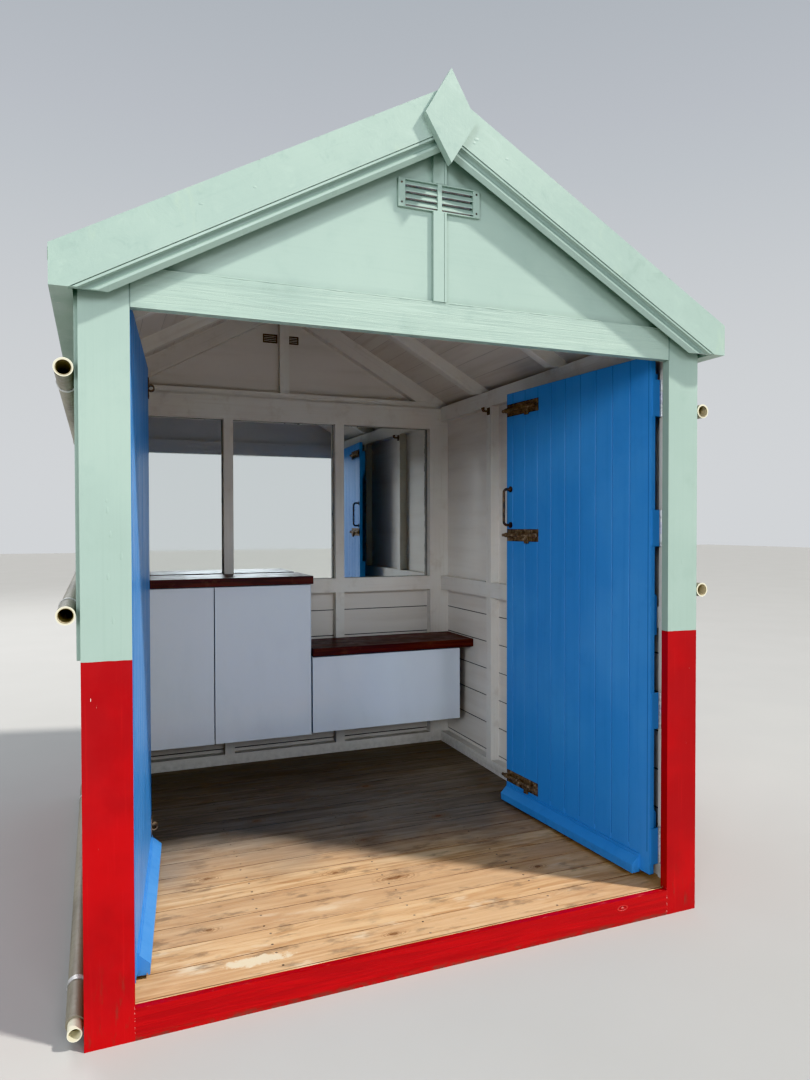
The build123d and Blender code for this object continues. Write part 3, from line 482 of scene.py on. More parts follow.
def deck_paint():
    """Ceiling boards across the rafters."""
    shader = Shader("roof_boards_paint")
    board = shader.over(shader.over(shader.size(shader.x), math.cos(PITCH)), DECK_BOARD)
    part = shader.math("FRACT", board)
    seam = shader.larger(shader.span(part, 0.022, 0.0), shader.span(part, 0.978, 1.0))
    tone = shader.chance(shader.math("FLOOR", board))
    colour = shader.mix(shader.times(tone, 0.35), CREAM, CREAM_DEEP)
    grain = shader.streaks(shader.grain("y"), (1.4, 24.0, 24.0))
    colour = shader.mix(shader.span(grain, 0.45, 0.8, 0.0, 0.35), colour, srgb(190, 178, 162))
    colour = shader.mix(shader.times(seam, 0.35), colour, srgb(120, 108, 96))
    shader.raise_by(seam, -0.0008)
    shader.raise_by(grain, 0.0004)
    return shader.done(colour, 0.55, level=0.4)


def door_paint():
    """Azure gloss, brushed up and down, darkened with painted shade in its V joints and scuffed at the foot.
    """
    shader = Shader("door_blue_paint")
    colour = brushed(shader, "z", BLUES, 0.5)
    run = shader.streaks(shader.place, (30.0, 30.0, 1.4))
    colour = shader.mix(shader.span(run, 0.50, 0.78, 0.0, 0.25), colour, BLUE_DEEP)
    # Distance from the hinge along whichever open door this is
    on_right = shader.above(shader.x, 0.0)
    cosine = shader.span(on_right, 0.0, 1.0, math.cos(OPEN_LEFT), math.cos(OPEN_RIGHT), False)
    sine = shader.span(on_right, 0.0, 1.0, math.sin(OPEN_LEFT), math.sin(OPEN_RIGHT), False)
    along = shader.plus(shader.times(shader.minus(PIN_X, shader.size(shader.x)), cosine),
                        shader.times(shader.minus(shader.y, PIN_Y), sine))
    boards = shader.over(shader.minus(along, DOOR_JOINT), DOOR_PITCH)
    part = shader.minus(shader.math("FRACT", shader.plus(boards, 0.5)), 0.5)
    joint = shader.span(shader.size(part), 0.036, 0.008, 0.0, 0.75)
    joint = shader.times(joint, shader.above(shader.z, WEATHERBOARD_TOP))
    # Painted shade in the V joints
    colour = shader.mix(joint, colour, srgb(48, 98, 158))
    foot = shader.span(shader.z, 0.14, 0.09, 0.0, 0.35)
    dirt = shader.noise(shader.place, 34.0, 5.0, 0.65)
    colour = shader.mix(shader.times(foot, shader.span(dirt, 0.46, 0.72)), colour, srgb(44, 62, 84))
    gloss = shader.span(run, 0.3, 0.7, 0.28, 0.42)
    return shader.done(colour, shader.plus(gloss, shader.times(joint, 0.5)), level=0.45)


def sill_paint():
    """Trodden red sill: worn through along its top edge and at a knot."""
    shader = Shader("sill_red_paint")
    ribs = shader.streaks(shader.place, (2.4, 60.0, 60.0), 6.0, 0.68, 0.7)
    colour = shader.mix(shader.span(ribs, 0.36, 0.66), RED_DEEP, RED)
    colour = shader.mix(shader.span(ribs, 0.62, 0.80, 0.0, 0.6), colour, srgb(222, 84, 84))
    shader.raise_by(ribs, 0.0018)
    reach = shader.reach(shader.times(shader.minus(shader.x, 0.688), 0.45), shader.minus(shader.z, 0.058))
    ring = shader.math("SINE", shader.times(reach, 900.0))
    knot = shader.span(reach, 0.014, 0.005)
    rings = shader.times(knot, shader.span(ring, 0.0, 0.9, 0.0, 0.5))
    colour = shader.mix(rings, colour, srgb(214, 96, 88))
    shader.raise_by(shader.times(knot, ring), 0.0012)
    edge = shader.span(shader.z, 0.078, 0.0855)
    wear = shader.streaks(shader.place, (22.0, 60.0, 60.0), 5.0, 0.7)
    worn = shader.times(edge, shader.span(wear, 0.58, 0.68, 0.0, 0.6))
    colour = shader.mix(worn, colour, srgb(206, 104, 96))
    under = shader.span(shader.z, 0.022, 0.0, 0.0, 0.7)
    colour = shader.mix(shader.times(under, shader.span(wear, 0.40, 0.62)), colour, GRIME)
    return shader.done(colour, 0.42, level=0.45)


def floor_timber():
    """Trodden softwood boards: bleached by the door, and darkened further in with painted shade."""
    shader = Shader("floor_timber")
    run = shader.over(shader.minus(shader.y, FLOOR_FRONT), FLOOR_PITCH)
    part = shader.math("FRACT", run)
    luck = shader.chance(shader.math("FLOOR", run))
    shift = shader.combine(shader.times(luck, 17.0), shader.times(luck, 5.0), 0.0)
    rings = shader.streaks(shader.place, (1.7, 23.0, 23.0), 7.0, 0.66, 1.6, shift)
    fine = shader.streaks(shader.place, (7.0, 260.0, 260.0), 4.0, 0.6)

    # Distance to the nearest knot, in half widths of its rings
    reach = 9.0
    for x, y, wide, deep in KNOTS:
        aside = shader.over(shader.minus(shader.x, x), wide)
        inward = shader.over(shader.minus(shader.y, y), deep)
        reach = shader.smaller(shader.reach(aside, inward), reach)
    reach = shader.plus(reach, shader.times(shader.noise(shader.place, 30.0, 4.0, 0.6), 0.9))
    knot = shader.span(reach, 0.86, 0.60, 0.0, 0.8)
    halo = shader.span(reach, 1.65, 0.90)
    whorl = shader.math("SINE", shader.times(reach, 24.0))

    # Bleached timber towards the door, and timber darkened with painted shade towards the back
    light = shader.mix(shader.span(rings, 0.34, 0.66), srgb(228, 192, 148), srgb(188, 142, 98))
    light = shader.mix(shader.times(luck, 0.65), light, srgb(192, 154, 118))
    dark = shader.mix(shader.span(rings, 0.34, 0.66), srgb(150, 138, 124), srgb(114, 102, 90))
    dark = shader.mix(shader.times(luck, 0.5), dark, srgb(130, 122, 112))
    drift = shader.times(shader.minus(shader.noise(shader.place, 2.6, 4.0), 0.5), 0.75)
    inward = shader.span(shader.plus(shader.y, drift), -0.62, 0.05)
    colour = shader.mix(inward, light, dark)
    whorls = shader.times(halo, shader.span(whorl, -0.2, 0.8, 0.0, 0.55))
    colour = shader.mix(whorls, colour, srgb(134, 96, 62))
    colour = shader.mix(shader.times(knot, 0.85), colour, srgb(112, 70, 42))
    colour = shader.mix(shader.span(fine, 0.56, 0.80, 0.0, 0.32), colour, srgb(104, 80, 58))

    # Stains, bleached streaks and smudges
    stain = shader.streaks(shader.place, (3.0, 7.0, 1.0), 5.0, 0.65, 0.4)
    colour = shader.mix(shader.span(stain, 0.56, 0.78, 0.0, 0.40), colour, srgb(104, 92, 80))
    worn = shader.streaks(shader.place, (3.4, 12.0, 1.0), 5.0, 0.62, offset=(4.0, 2.0, 0.0))
    bleach = shader.times(shader.span(worn, 0.56, 0.70), shader.span(shader.y, -0.55, -0.85, 0.0, 0.8))
    colour = shader.mix(bleach, colour, srgb(232, 214, 184))
    smudge = shader.streaks(shader.place, (5.5, 15.0, 1.0), 5.0, 0.68, offset=(1.0, 3.0, 0.0))
    colour = shader.mix(shader.span(smudge, 0.53, 0.68, 0.0, 0.65), colour, srgb(122, 100, 80))

    # The pale worn patch inside the sill, and spots of red and white paint
    patch = shader.squares(shader.times(shader.plus(shader.x, 0.53), 8.0),
                           shader.times(shader.plus(shader.y, 0.925), 34.0))
    patch = shader.plus(patch, shader.times(shader.noise(shader.place, 30.0, 5.0, 0.7), 3.0))
    colour = shader.mix(shader.span(patch, 2.3, 1.8, 0.0, 0.85), colour, srgb(240, 222, 190))
    speck = shader.noise(shader.place, 70.0, 4.0, 0.6)
    near = shader.span(shader.y, -0.60, -0.95)
    colour = shader.mix(shader.times(near, shader.span(speck, 0.755, 0.77)), colour, srgb(170, 60, 54))
    white = shader.noise(shader.scaled(shader.place, (1.0, 1.0, 1.0), (9.0, 3.0, 1.0)), 62.0, 3.0, 0.6)
    colour = shader.mix(shader.span(white, 0.765, 0.78, 0.0, 0.8), colour, srgb(206, 214, 216))

    # Seams between the boards, partly filled with dirt, and darker towards the back with the same painted
    # shade
    seam = shader.larger(shader.span(part, 0.024, 0.010), shader.span(part, 0.976, 0.990))
    filled = shader.streaks(shader.place, (5.0, 40.0, 1.0), 4.0, 0.6, offset=(2.0, 7.0, 0.0))
    seam = shader.times(seam, shader.span(filled, 0.36, 0.62, 0.6, 1.0))
    colour = shader.mix(seam, colour, shader.mix(inward, srgb(92, 62, 38), srgb(34, 28, 24)))
    shader.raise_by(rings, 0.0012)
    shader.raise_by(fine, 0.0006)
    shader.raise_by(knot, 0.0008)
    return shader.done(colour, shader.span(worn, 0.35, 0.65, 0.50, 0.74), level=0.35)


def dark_wood():
    """Worktop and seat in a dark red-brown stain with a worn varnish."""
    shader = Shader("dark_stained_wood")
    rings = shader.streaks(shader.place, (1.4, 30.0, 30.0), 6.0, 0.6, 1.2)
    fine = shader.streaks(shader.place, (6.0, 240.0, 240.0))
    colour = shader.mix(shader.span(rings, 0.34, 0.66), srgb(86, 36, 26), srgb(48, 18, 14))
    colour = shader.mix(shader.span(fine, 0.52, 0.78, 0.0, 0.5), colour, srgb(30, 12, 10))
    dust = shader.noise(shader.place, 12.0, 5.0, 0.6)
    colour = shader.mix(shader.span(dust, 0.56, 0.80, 0.0, 0.25), colour, srgb(150, 120, 104))
    shader.raise_by(fine, 0.0003)
    gloss = shader.span(dust, 0.3, 0.7, 0.34, 0.50)
    return shader.done(colour, gloss, coat=0.06, coat_rough=0.2, level=0.35)


def gloss_white():
    """White laminate doors and sheet, tinted cool with painted skylight, with a faint marble of finger marks
    in the gloss.
    """
    shader = Shader("gloss_white_laminate")
    smear = shader.streaks(shader.place, (4.0, 4.0, 2.0), 5.0, 0.6, 0.5)
    # The blue in both whites is painted skylight
    colour = shader.mix(shader.span(smear, 0.45, 0.80, 0.0, 0.4), srgb(222, 230, 240), srgb(208, 217, 228))
    low = shader.span(shader.z, 0.42, 0.29, 0.0, 0.25)
    colour = shader.mix(shader.times(low, smear), colour, srgb(170, 166, 158))
    shader.raise_by(smear, 0.0004)
    return shader.done(colour, shader.span(smear, 0.35, 0.7, 0.12, 0.26), coat=0.3, coat_rough=0.06)


def bare_timber(name, axis):
    """Unpainted softwood, grey with dirt."""
    shader = Shader(name)
    rings = shader.streaks(shader.grain(axis), (1.6, 44.0, 44.0), 6.0, 0.6, 0.9)
    colour = shader.mix(shader.span(rings, 0.34, 0.66), srgb(140, 112, 82), srgb(92, 70, 50))
    dirt = shader.noise(shader.place, 18.0, 5.0, 0.65)
    colour = shader.mix(shader.span(dirt, 0.42, 0.72, 0.0, 0.7), colour, srgb(62, 54, 46))
    shader.raise_by(rings, 0.0015)
    return shader.done(colour, 0.82, level=0.25)


def roofing():
    """Mineral felt: green-grey granules, rubbed pale in places and streaked down the slope."""
    shader = Shader("roofing_felt")
    grit = shader.grit(420.0)
    patch = shader.noise(shader.place, 3.2, 5.0, 0.6)
    colour = shader.mix(grit, srgb(96, 116, 100), srgb(148, 166, 146))
    colour = shader.mix(shader.span(patch, 0.45, 0.75, 0.0, 0.6), colour, srgb(122, 128, 114))
    streak = shader.streaks(shader.grain("slope"), (1.2, 4.0, 22.0))
    colour = shader.mix(shader.span(streak, 0.52, 0.78, 0.0, 0.45), colour, srgb(82, 92, 80))
    shader.raise_by(grit, 0.0005)
    shader.raise_by(patch, 0.002)
    return shader.done(colour, 0.88, level=0.25)


def silvered_glass():
    """Old mirrors: bright in the middle, browned and lost at the edges."""
    shader = Shader("mirror_glass")
    out = shader.size(shader.x)
    outer = shader.smaller(shader.minus(out, MIRROR_IN), shader.minus(MIRROR_OUT, out))
    across = shader.larger(outer, shader.minus(MIRROR_MIDDLE, out))
    upright = shader.smaller(shader.minus(shader.z, MIRROR_LOW), shader.minus(MIRROR_HIGH, shader.z))
    edge = shader.smaller(across, upright)
    creep = shader.streaks(shader.place, (26.0, 26.0, 9.0), 5.0, 0.65)
    lost = shader.span(edge, 0.0030, 0.0010)
    browned = shader.times(shader.span(edge, 0.010, 0.002), shader.span(creep, 0.60, 0.70))
    far = shader.span(shader.x, MIRROR_OUT - 0.038, MIRROR_OUT)
    ruined = shader.span(shader.plus(far, shader.times(creep, 0.9)), 1.04, 1.16, 0.0, 0.7)
    spots = shader.span(shader.noise(shader.place, 95.0, 3.0), 0.76, 0.79)
    loss = shader.larger(shader.larger(lost, browned), shader.larger(ruined, spots))
    colour = shader.mix(loss, srgb(240, 244, 243), srgb(104, 100, 92))
    haze = shader.noise(shader.place, 5.0, 5.0, 0.6)
    rough = shader.plus(shader.times(loss, 0.40), shader.span(haze, 0.4, 0.8, 0.015, 0.06))
    return shader.done(colour, rough, metal=shader.minus(1.0, shader.times(loss, 0.85)))


def rusty_iron():
    """Japanned iron gone to rust: dark brown in the hollows, pale and dusty on the faces."""
    shader = Shader("rusty_iron")
    bloom = shader.noise(shader.place, 46.0, 6.0, 0.68, 0.5)
    crust = shader.noise(shader.place, 170.0, 4.0, 0.6)
    colour = shader.mix(shader.span(bloom, 0.36, 0.58), srgb(82, 68, 56), srgb(142, 124, 104))
    colour = shader.mix(shader.span(bloom, 0.56, 0.68), colour, srgb(186, 172, 152))
    colour = shader.mix(shader.span(crust, 0.52, 0.72, 0.0, 0.55), colour, srgb(78, 58, 46))
    shader.raise_by(crust, 0.0012)
    shader.raise_by(bloom, 0.0010)
    return shader.done(colour, shader.span(bloom, 0.35, 0.65, 0.42, 0.80), metal=0.35)


def vent_iron():
    """Small back grilles, dark with old varnish and dust, and near black with painted shade where they run
    back into the wall.
    """
    shader = Shader("vent_iron")
    bloom = shader.noise(shader.place, 80.0, 5.0, 0.62)
    colour = shader.mix(shader.span(bloom, 0.40, 0.66), srgb(66, 54, 44), srgb(112, 92, 74))
    # Painted shade, near black, beyond the face of the lining
    deep = shader.span(shader.y, LINING_Y - 0.001, LINING_Y + 0.001, 0.0, 0.9)
    colour = shader.mix(deep, colour, srgb(20, 16, 14))
    shader.raise_by(bloom, 0.0003)
    return shader.done(colour, 0.6, metal=0.2, level=0.4)


def dark_iron():
    """Blackened iron, polished by hands."""
    shader = Shader("dark_iron")
    bloom = shader.noise(shader.place, 60.0, 5.0, 0.62)
    colour = shader.mix(shader.span(bloom, 0.44, 0.66), srgb(66, 60, 56), srgb(116, 94, 74))
    shader.raise_by(bloom, 0.0004)
    return shader.done(colour, shader.span(bloom, 0.3, 0.7, 0.34, 0.56), metal=0.3)


def painted_iron():
    """Pale zinc and overpaint on hinges, clips and pivots."""
    shader = Shader("painted_iron")
    bloom = shader.noise(shader.place, 55.0, 5.0, 0.65)
    colour = shader.mix(shader.span(bloom, 0.42, 0.66), srgb(214, 214, 212), srgb(176, 176, 172))
    colour = shader.mix(shader.span(bloom, 0.68, 0.76), colour, srgb(130, 104, 84))
    shader.raise_by(bloom, 0.0004)
    return shader.done(colour, shader.span(bloom, 0.3, 0.7, 0.30, 0.50), metal=0.45)


def hinge_leaf():
    """Door leaves of the hinges, painted over with the door, with the knuckles left bare."""
    shader = Shader("hinge_leaf")
    bloom = shader.noise(shader.place, 55.0, 5.0, 0.65)
    bare = shader.mix(shader.span(bloom, 0.42, 0.66), srgb(206, 204, 214), srgb(164, 164, 170))
    barrel = shader.span(shader.size(shader.x), PIN_X - 0.0075, PIN_X - 0.0060)
    worn = shader.larger(barrel, shader.span(bloom, 0.70, 0.72))
    shader.raise_by(bloom, 0.0004)
    return shader.done(shader.mix(worn, BLUE, bare), 0.40, metal=shader.times(worn, 0.45))


def tube_plastic():
    """Weathered khaki pipe with pale cut ends, a bore that is partly its own paler inside and partly painted
    light, painted shade inside the rims and a cream liner.
    """
    shader = Shader("tube_plastic")
    chalk = shader.streaks(shader.grain("y"), (2.0, 26.0, 26.0), 5.0, 0.6)
    colour = shader.mix(shader.span(chalk, 0.38, 0.68), srgb(152, 146, 128), srgb(122, 116, 102))
    scuff = shader.noise(shader.place, 48.0, 5.0, 0.68)
    colour = shader.mix(shader.span(scuff, 0.60, 0.76, 0.0, 0.6), colour, srgb(92, 84, 72))

    # Distance from the middle of a tube on the wall, and the ends of every tube
    low = shader.below(shader.z, 0.2)
    high = shader.minus(1.0, low)
    middle = shader.span(shader.above(shader.z, 1.45), 0.0, 1.0, TUBE_LOW, TUBE_HIGH, False)
    reach = shader.reach(shader.minus(shader.size(shader.x), TUBE_X), shader.minus(shader.z, middle))
    bore = shader.times(shader.below(reach, TUBE_BORE), high)
    cut = shader.larger(shader.below(shader.y, TUBE_FRONT), shader.above(shader.y, TUBE_BACK))
    ends = shader.larger(cut, shader.times(low, shader.below(shader.y, LINER_END)))

    pale = shader.mix(shader.span(scuff, 0.55, 0.78, 0.0, 0.5), srgb(236, 230, 204), srgb(196, 184, 150))
    # The bore is paler than the outside, and lightened further with painted light
    colour = shader.mix(shader.times(bore, 0.75), colour, srgb(206, 192, 158))
    colour = shader.mix(ends, colour, pale)
    # Painted shade on the inner bevel of each cut end
    rim_shade = shader.times(shader.times(ends, shader.span(reach, 0.0213, 0.0203)), high)
    colour = shader.mix(shader.times(rim_shade, 0.8), colour, srgb(116, 102, 74))
    shader.raise_by(chalk, 0.0003)
    return shader.done(colour, shader.span(scuff, 0.3, 0.7, 0.38, 0.58), level=0.4)


# The material of each node, or the node that it shares one with
FINISH = {
    "front_posts": post_paint(), "header": header_paint(), "sill": sill_paint(),
    "bargeboard_left": barge_paint(), "verge_moulding_left": moulding_paint(), "finial": finial_paint(),
    "gable_front": gable_paint(), "gable_vent": vent_paint(),
    "gable_batten": mint_paint("batten_paint", "z", 0.8),
    "eaves": mint_paint("eaves_paint", "y", chips=0.02),
    "upper_panel_left": wall_paint("upper_side_wall", "y", True, True),
    "lower_boards_left": wall_paint("lower_side_wall", "y", True, False),
    "upper_panel_back": wall_paint("upper_back_wall", "x", False, True),
    "lower_boards_back": wall_paint("lower_back_wall", "x", False, False),
    "roof_left": deck_paint(), "covering_left": roofing(),
    "floor_boards": floor_timber(), "floor_bearers": bare_timber("bearer_timber", "y"),
    "ridge_board": lining_paint("ridge_board_paint", "y"), "rafters": lining_paint("rafter_paint", "slope"),
    "side_rails": lining_paint("rail_paint", "y"), "side_studs": lining_paint("stud_paint", "z"),
    "back_rails": lining_paint("back_rail_paint", "x"),
    "mirrors": silvered_glass(), "cupboard": gloss_white(), "worktop": dark_wood(),
    "door_left": door_paint(), "hinge_frame_leaves": painted_iron(), "hinge_leaves_left": hinge_leaf(),
    "bolt_keeps": rusty_iron(), "pull_handle": dark_iron(), "back_vents": vent_iron(),
    "side_tubes": tube_plastic(),
}
SAME = {
    "back_posts": "front_posts",
    "bargeboard_right": "bargeboard_left", "verge_moulding_right": "verge_moulding_left",
    "upper_panel_right": "upper_panel_left", "lower_boards_right": "lower_boards_left",
    "roof_right": "roof_left", "covering_right": "covering_left", "ridge_cap": "covering_left",
    "back_uprights": "side_studs", "cupboard_door_left": "cupboard", "cupboard_door_right": "cupboard",
    "bench_box": "cupboard", "bench_seat": "worktop", "door_right": "door_left",
    "weatherboard_left": "door_left", "weatherboard_right": "door_left",
    "hinge_leaves_right": "hinge_leaves_left", "cupboard_pivots": "hinge_frame_leaves",
    "tube_clips": "hinge_frame_leaves", "pad_bolt_plates": "bolt_keeps", "bolt_top": "bolt_keeps",
    "bolt_middle": "bolt_keeps", "bolt_bottom": "bolt_keeps", "coat_hook": "pull_handle",
}
for name, node in nodes.items():
    node.data.materials.clear()
    node.data.materials.append(FINISH[SAME.get(name, name)])


# Piece helpers
def add_object(name, data):
    """Puts an object in the scene."""
    thing = bpy.data.objects.new(name, data)
    bpy.context.scene.collection.objects.link(thing)
    return thing


def make_piece(name, mesh, like, body, smooth=True):
    """Links a finished bmesh as a piece of a body, in the material of a node."""
    data = bpy.data.meshes.new(name)
    mesh.to_mesh(data)
    mesh.free()
    for face in data.polygons:
        face.use_smooth = smooth
    data.materials.append(FINISH[like])
    piece = add_object(name, data)
    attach(piece, body)


def facing(normal):
    """A turn that points +Z along a normal."""
    return Vector((0, 0, 1)).rotation_difference(Vector(normal)).to_matrix().to_4x4()


def circle(count, whole=math.tau, close=False):
    """Angles at even steps, with the last one too where it is asked for."""
    return [whole * turn / count for turn in range(count + close)]


def add_head(mesh, place, normal, radius, rise, recess=0.0, sides=12, spin=0.0):
    """A domed nail or screw head, with a dished middle where recess is given."""
    rings = [(1.0, 0.0), (0.97, 0.45), (0.78, 0.85), (0.42, 1.0)]
    if recess:
        rings = [(1.0, 0.0), (0.98, 0.6), (0.86, 1.0), (0.44, 1.0), (0.34, 1.0 - recess)]
    turn = Matrix.Translation(place) @ facing(normal) @ Matrix.Rotation(spin, 4, "Z")
    loops = []
    for width, level in rings:
        points = [(radius * width * math.cos(angle), radius * width * math.sin(angle), rise * level)
                  for angle in circle(sides)]
        loops.append([mesh.verts.new(turn @ Vector(point)) for point in points])
    add_skin(mesh, loops, True)
    mesh.faces.new(loops[-1])


def add_skin(mesh, grid, round_about):
    """Faces between rows of corners that all have the same length."""
    for low, high in zip(grid, grid[1:]):
        for step in range(len(low) if round_about else len(low) - 1):
            after = (step + 1) % len(low)
            mesh.faces.new((low[step], low[after], high[after], high[step]))


def add_ribbon(mesh, rows, close=False):
    """A skin over rows of points, made a closed bar where close is given."""
    grid = [[mesh.verts.new(point) for point in row] for row in rows]
    add_skin(mesh, grid, close)
    if close:
        mesh.faces.new(list(reversed(grid[0])))
        mesh.faces.new(grid[-1])


def door_turn(side):
    """The angle that carries a closed door to where it stands."""
    return -OPEN_RIGHT if side > 0 else OPEN_LEFT


def hang(x, y, z, side):
    """Carries a point drawn on the closed right door to where that door, or its mirror, stands."""
    angle, pin_x = door_turn(side), PIN_X * side
    dx, dy = x * side - pin_x, y - PIN_Y
    return Vector((pin_x + dx * math.cos(angle) - dy * math.sin(angle),
                   PIN_Y + dx * math.sin(angle) + dy * math.cos(angle), z))


def face_normal(side):
    """The way the outer face of an open door looks."""
    angle = door_turn(side)
    return Vector((math.sin(angle), -math.cos(angle), 0))


def slope_normal(side):
    """The way a side of the roof looks."""
    return Vector((side * math.sin(PITCH), 0, math.cos(PITCH)))


def roof_point(x, y, above=0.0):
    """A point on the covering, lifted square to the slope."""
    base = Vector((x, y, RIDGE - math.tan(PITCH) * abs(x)))
    return base + above * slope_normal(math.copysign(1, x))


dice = random.Random(11)


def jitter(most):
    """A small random shift either way."""
    return dice.uniform(-most, most)


# Vent screws
screws = bmesh.new()
for x in VENT_SCREWS_X:
    for rise in (-0.029, 0.029):
        add_head(screws, (x, FRONT - 0.002, VENT_Z + rise), (0, -1, 0), *VENT_SCREW, spin=dice.random())
make_piece("vent_screws", screws, "pull_handle", "hut")

# Sags and drips of thick paint on the bargeboards and posts, by their place, half width and half height
SAG_SINK, SAG_RISE = 0.0001, 0.0008
barge_face = min(vertex.co.y for vertex in nodes["bargeboard_right"].data.vertices)
spots = [(0.102, barge_face, 2.510, 0.010, 0.005), (0.094, barge_face, 2.498, 0.006, 0.004),
         (0.205, barge_face, 2.470, 0.007, 0.004), (-0.700, barge_face, 2.196, 0.008, 0.003),
         (-0.560, barge_face, 2.262, 0.006, 0.003)]
for _ in range(7):
    side = dice.choice((-1, 1))
    spots.append((side * dice.uniform(0.885, 0.965), FRONT, dice.uniform(1.05, 1.50),
                  dice.uniform(0.003, 0.005), dice.uniform(0.006, 0.012)))
sags = bmesh.new()
for x, y, z, wide, tall in spots:
    rows = []
    for step in range(9):
        up = 1 - step / 4
        narrow = math.sqrt(max(0.0, 1 - up * up)) * (0.7 + 0.3 * (1 - up) / 2)
        rows.append([(x + wide * narrow * math.cos(angle),
                      y + SAG_SINK - SAG_RISE * narrow * math.sin(angle), z + tall * up)
                     for angle in circle(8, math.pi, True)])
    add_ribbon(sags, rows)
bmesh.ops.remove_doubles(sags, verts=sags.verts, dist=0.00002)
make_piece("paint_sags", sags, "gable_batten", "hut")

# A ridge of paint and filler along the top of the header, thicker and thinner as it goes
BEAD_OUT, BEAD_STEPS, BEAD_SWELLS = 0.874, 350, 78
swell = [dice.uniform(0.0014, 0.0026) for _ in range(BEAD_SWELLS + 2)]
rows = []
for step in range(BEAD_STEPS + 1):
    x = -BEAD_OUT + 2 * BEAD_OUT * step / BEAD_STEPS
    slot, part = divmod(step / BEAD_STEPS * BEAD_SWELLS, 1)
    radius = swell[int(slot)] * (1 - part) + swell[int(slot) + 1] * part
    rows.append([(x, FRONT + 0.001 - radius * math.cos(angle), HEADER_TOP - 0.0015 + radius * math.sin(angle))
                 for angle in circle(8)])
bead = bmesh.new()
add_ribbon(bead, rows, close=True)
make_piece("header_paint_ridge", bead, "header", "hut")

# Nails in the floor boards, two over each bearer, with none in the last board by the back wall
NAILED_BOARDS = 16
nails = bmesh.new()
for board in range(NAILED_BOARDS):
    middle = FLOOR_FRONT + FLOOR_PITCH * (board + 0.5)
    for bearer in range(BEARERS):
        x = -BEARER_OUT + 2 * BEARER_OUT * bearer / (BEARERS - 1)
        for offset in (-0.034, 0.034):
            place = (x + jitter(0.006), middle + offset + jitter(0.004), FLOOR - 0.0003)
            add_head(nails, place, (0, 0, 1), *FLOOR_NAIL, sides=10)
make_piece("floor_nails", nails, "bolt_keeps", "hut")

# Upper sheets of roofing, lapped over the covering, with their clout nails. The section gives distances from
# the middle and lifts, and the rows of clouts give how far each nail may stray between the two.
SHEET_SECTION = ((0.091, 0.0), (0.091, 0.0020), (0.30, 0.0021), (0.552, 0.0024), (0.5545, 0.0012),
                 (0.5545, 0.0))
SHEET_BACK, SHEET_STEPS = 1.083, 40
CLOUT_BACK, CLOUTS = 1.06, 36
CLOUT_ROWS = ((0.532, 0.004, 0.0022), (0.068, 0.003, 0.0020), (1.040, 0.004, 0.0))
for side, word in ((-1, "left"), (1, "right")):
    sheet = bmesh.new()
    rows = []
    for step in range(SHEET_STEPS + 1):
        y = -SHEET_BACK + 2 * SHEET_BACK * step / SHEET_STEPS
        rows.append([roof_point(side * x, y, lift) for x, lift in SHEET_SECTION])
    add_ribbon(sheet, rows, close=True)
    bmesh.ops.recalc_face_normals(sheet, faces=sheet.faces)
    make_piece("roof_lap_" + word, sheet, "covering_left", "hut", smooth=False)
    clouts = bmesh.new()
    for step in range(CLOUTS):
        y = -CLOUT_BACK + 2 * CLOUT_BACK * step / (CLOUTS - 1)
        for x, stray, lift in CLOUT_ROWS:
            place = roof_point(side * (x + jitter(stray)), y, lift)
            add_head(clouts, place, slope_normal(side), *CLOUT)
    make_piece("roof_clouts_" + word, clouts, "hinge_frame_leaves", "hut")

# Screws in the pad bolt plates and in the keeps, measured from the free edge of each door
bolts = bmesh.new()
for z in (BOLT_LOW, BOLT_MIDDLE, BOLT_HIGH):
    for along in (0.042, 0.076, 0.146, 0.192):
        for rise in (-0.021, 0.021):
            place = hang(DOOR_FREE + along, PLATE_FACE, z + rise, 1)
            add_head(bolts, place, face_normal(1), *BOLT_SCREW, spin=dice.random())
make_piece("pad_bolt_screws", bolts, "bolt_keeps", "right_door")
keeps = bmesh.new()
for z in (BOLT_LOW, BOLT_HIGH):
    for rise in (-0.029, 0.029):
        place = hang(DOOR_FREE + 0.019, PLATE_FACE, z + rise, -1)
        add_head(keeps, place, face_normal(-1), *BOLT_SCREW)
make_piece("keep_screws", keeps, "bolt_keeps", "left_door")

# Studio floor
floor_data = bpy.data.meshes.new("studio_floor")
ground = bmesh.new()
bmesh.ops.create_grid(ground, x_segments=1, y_segments=1, size=40)
ground.to_mesh(floor_data)
ground.free()
floor_shader = Shader("studio_floor")
tone = floor_shader.span(floor_shader.noise(floor_shader.place, 1.3, 3.0), 0.3, 0.7)
pale = floor_shader.mix(tone, srgb(179, 178, 175), srgb(177, 176, 173))
floor_data.materials.append(floor_shader.done(pale, 0.8, level=0.2))
stage = add_object("studio_floor", floor_data)

# Camera, solved from the hut's straight edges in the photograph
EYE = (-0.957122, -3.152190, 1.357198)
YAW, TILT, ROLL = 0.381880233, -0.0179727732, -0.00165387721
forward = Vector((math.sin(YAW) * math.cos(TILT), math.cos(YAW) * math.cos(TILT), math.sin(TILT)))
level = Vector((math.cos(YAW), -math.sin(YAW), 0))
upward = level.cross(forward)
across = math.cos(ROLL) * level + math.sin(ROLL) * upward
upright = -math.sin(ROLL) * level + math.cos(ROLL) * upward
lens = bpy.data.cameras.new("camera")
lens.lens = 25.528
lens.sensor_width = 36
lens.sensor_fit = "AUTO"
camera = add_object("camera", lens)
turn = Matrix((across, upright, -forward)).transposed().to_4x4()
camera.matrix_world = Matrix.Translation(EYE) @ turn
bpy.context.scene.camera = camera


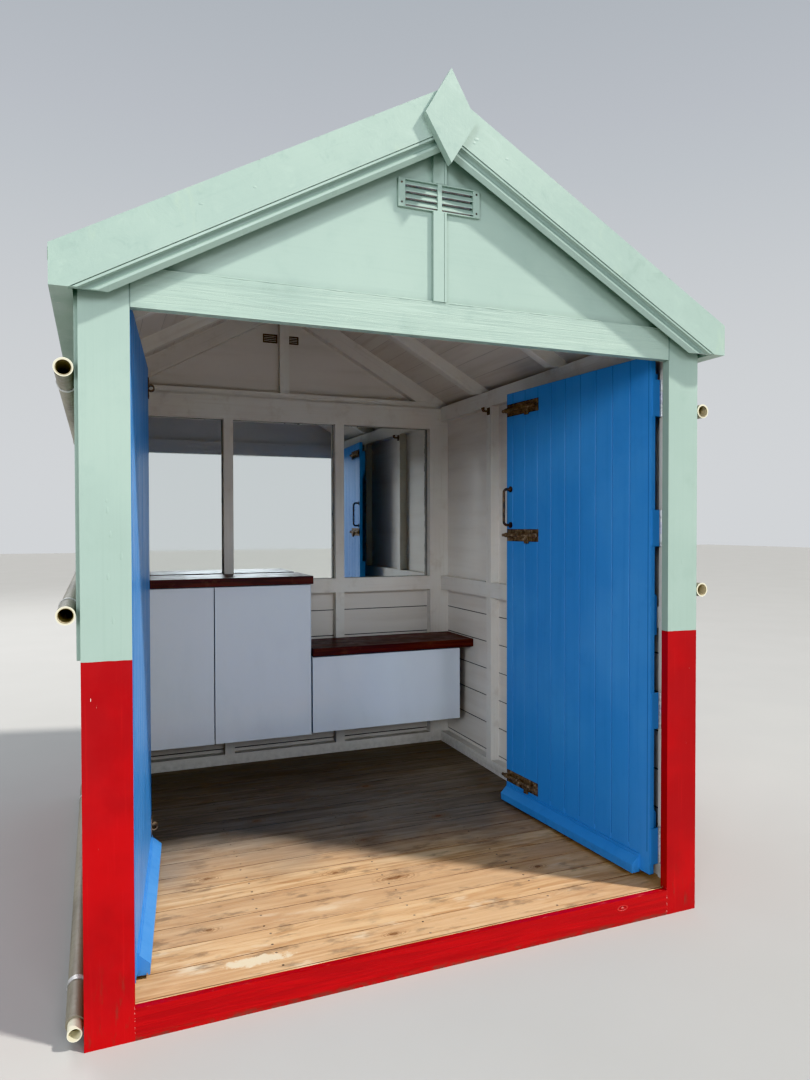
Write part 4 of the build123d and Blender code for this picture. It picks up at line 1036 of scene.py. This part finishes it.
def lamp(name, place, target, size, power, colour):
    """A large soft light that looks at a point."""
    data = bpy.data.lights.new(name, "AREA")
    data.shape = "SQUARE"
    data.size = size
    data.energy = power
    data.color = colour
    light = add_object(name, data)
    aim = (Vector(target) - Vector(place)).to_track_quat("-Z", "Y")
    light.matrix_world = Matrix.Translation(place) @ aim.to_matrix().to_4x4()


# Lights: the sun, soft fill for the outside and the room, and one behind the hut
sun_data = bpy.data.lights.new("key", "SUN")
sun_data.energy = 3.85
sun_data.angle = math.radians(4)
sun_data.color = (1.0, 0.965, 0.91)
sun = add_object("key", sun_data)
sun.matrix_world = Vector((0.525, -0.418, 0.74)).to_track_quat("Z", "Y").to_matrix().to_4x4()
lamp("doorway", (-8.0, -9.5, 4.0), (0.3, 0.3, 1.0), 3.0, 520, (0.88, 0.94, 1.0))
lamp("room", (1.5, -10.5, 4.7), (-0.3, 0.6, 0.8), 2.4, 230, (0.86, 0.93, 1.0))
lamp("back", (-3.5, 9.0, 8.5), (0.0, 0.6, 1.4), 5.0, 560, (0.97, 0.98, 1.0))

# A soft sky that is paler towards the horizon
world = bpy.data.worlds.new("studio")
world.use_nodes = True
sky = world.node_tree.nodes
sky_links = world.node_tree.links
towards = sky.new("ShaderNodeTexCoord")
parts = sky.new("ShaderNodeSeparateXYZ")
sky_links.new(towards.outputs["Generated"], parts.inputs[0])
climb = sky.new("ShaderNodeMapRange")
climb.interpolation_type = "SMOOTHSTEP"
climb.inputs[1].default_value = 0.02
climb.inputs[2].default_value = 0.90
sky_links.new(parts.outputs[2], climb.inputs[0])
blend = sky.new("ShaderNodeMix")
blend.data_type = "RGBA"
blend.inputs[6].default_value = (0.68, 0.70, 0.72, 1.0)
blend.inputs[7].default_value = (0.36, 0.40, 0.46, 1.0)
sky_links.new(climb.outputs[0], blend.inputs[0])
sky_links.new(blend.outputs[2], sky["Background"].inputs[0])
sky["Background"].inputs[1].default_value = 1.0
bpy.context.scene.world = world
bpy.context.scene.view_settings.view_transform = "Khronos PBR Neutral"
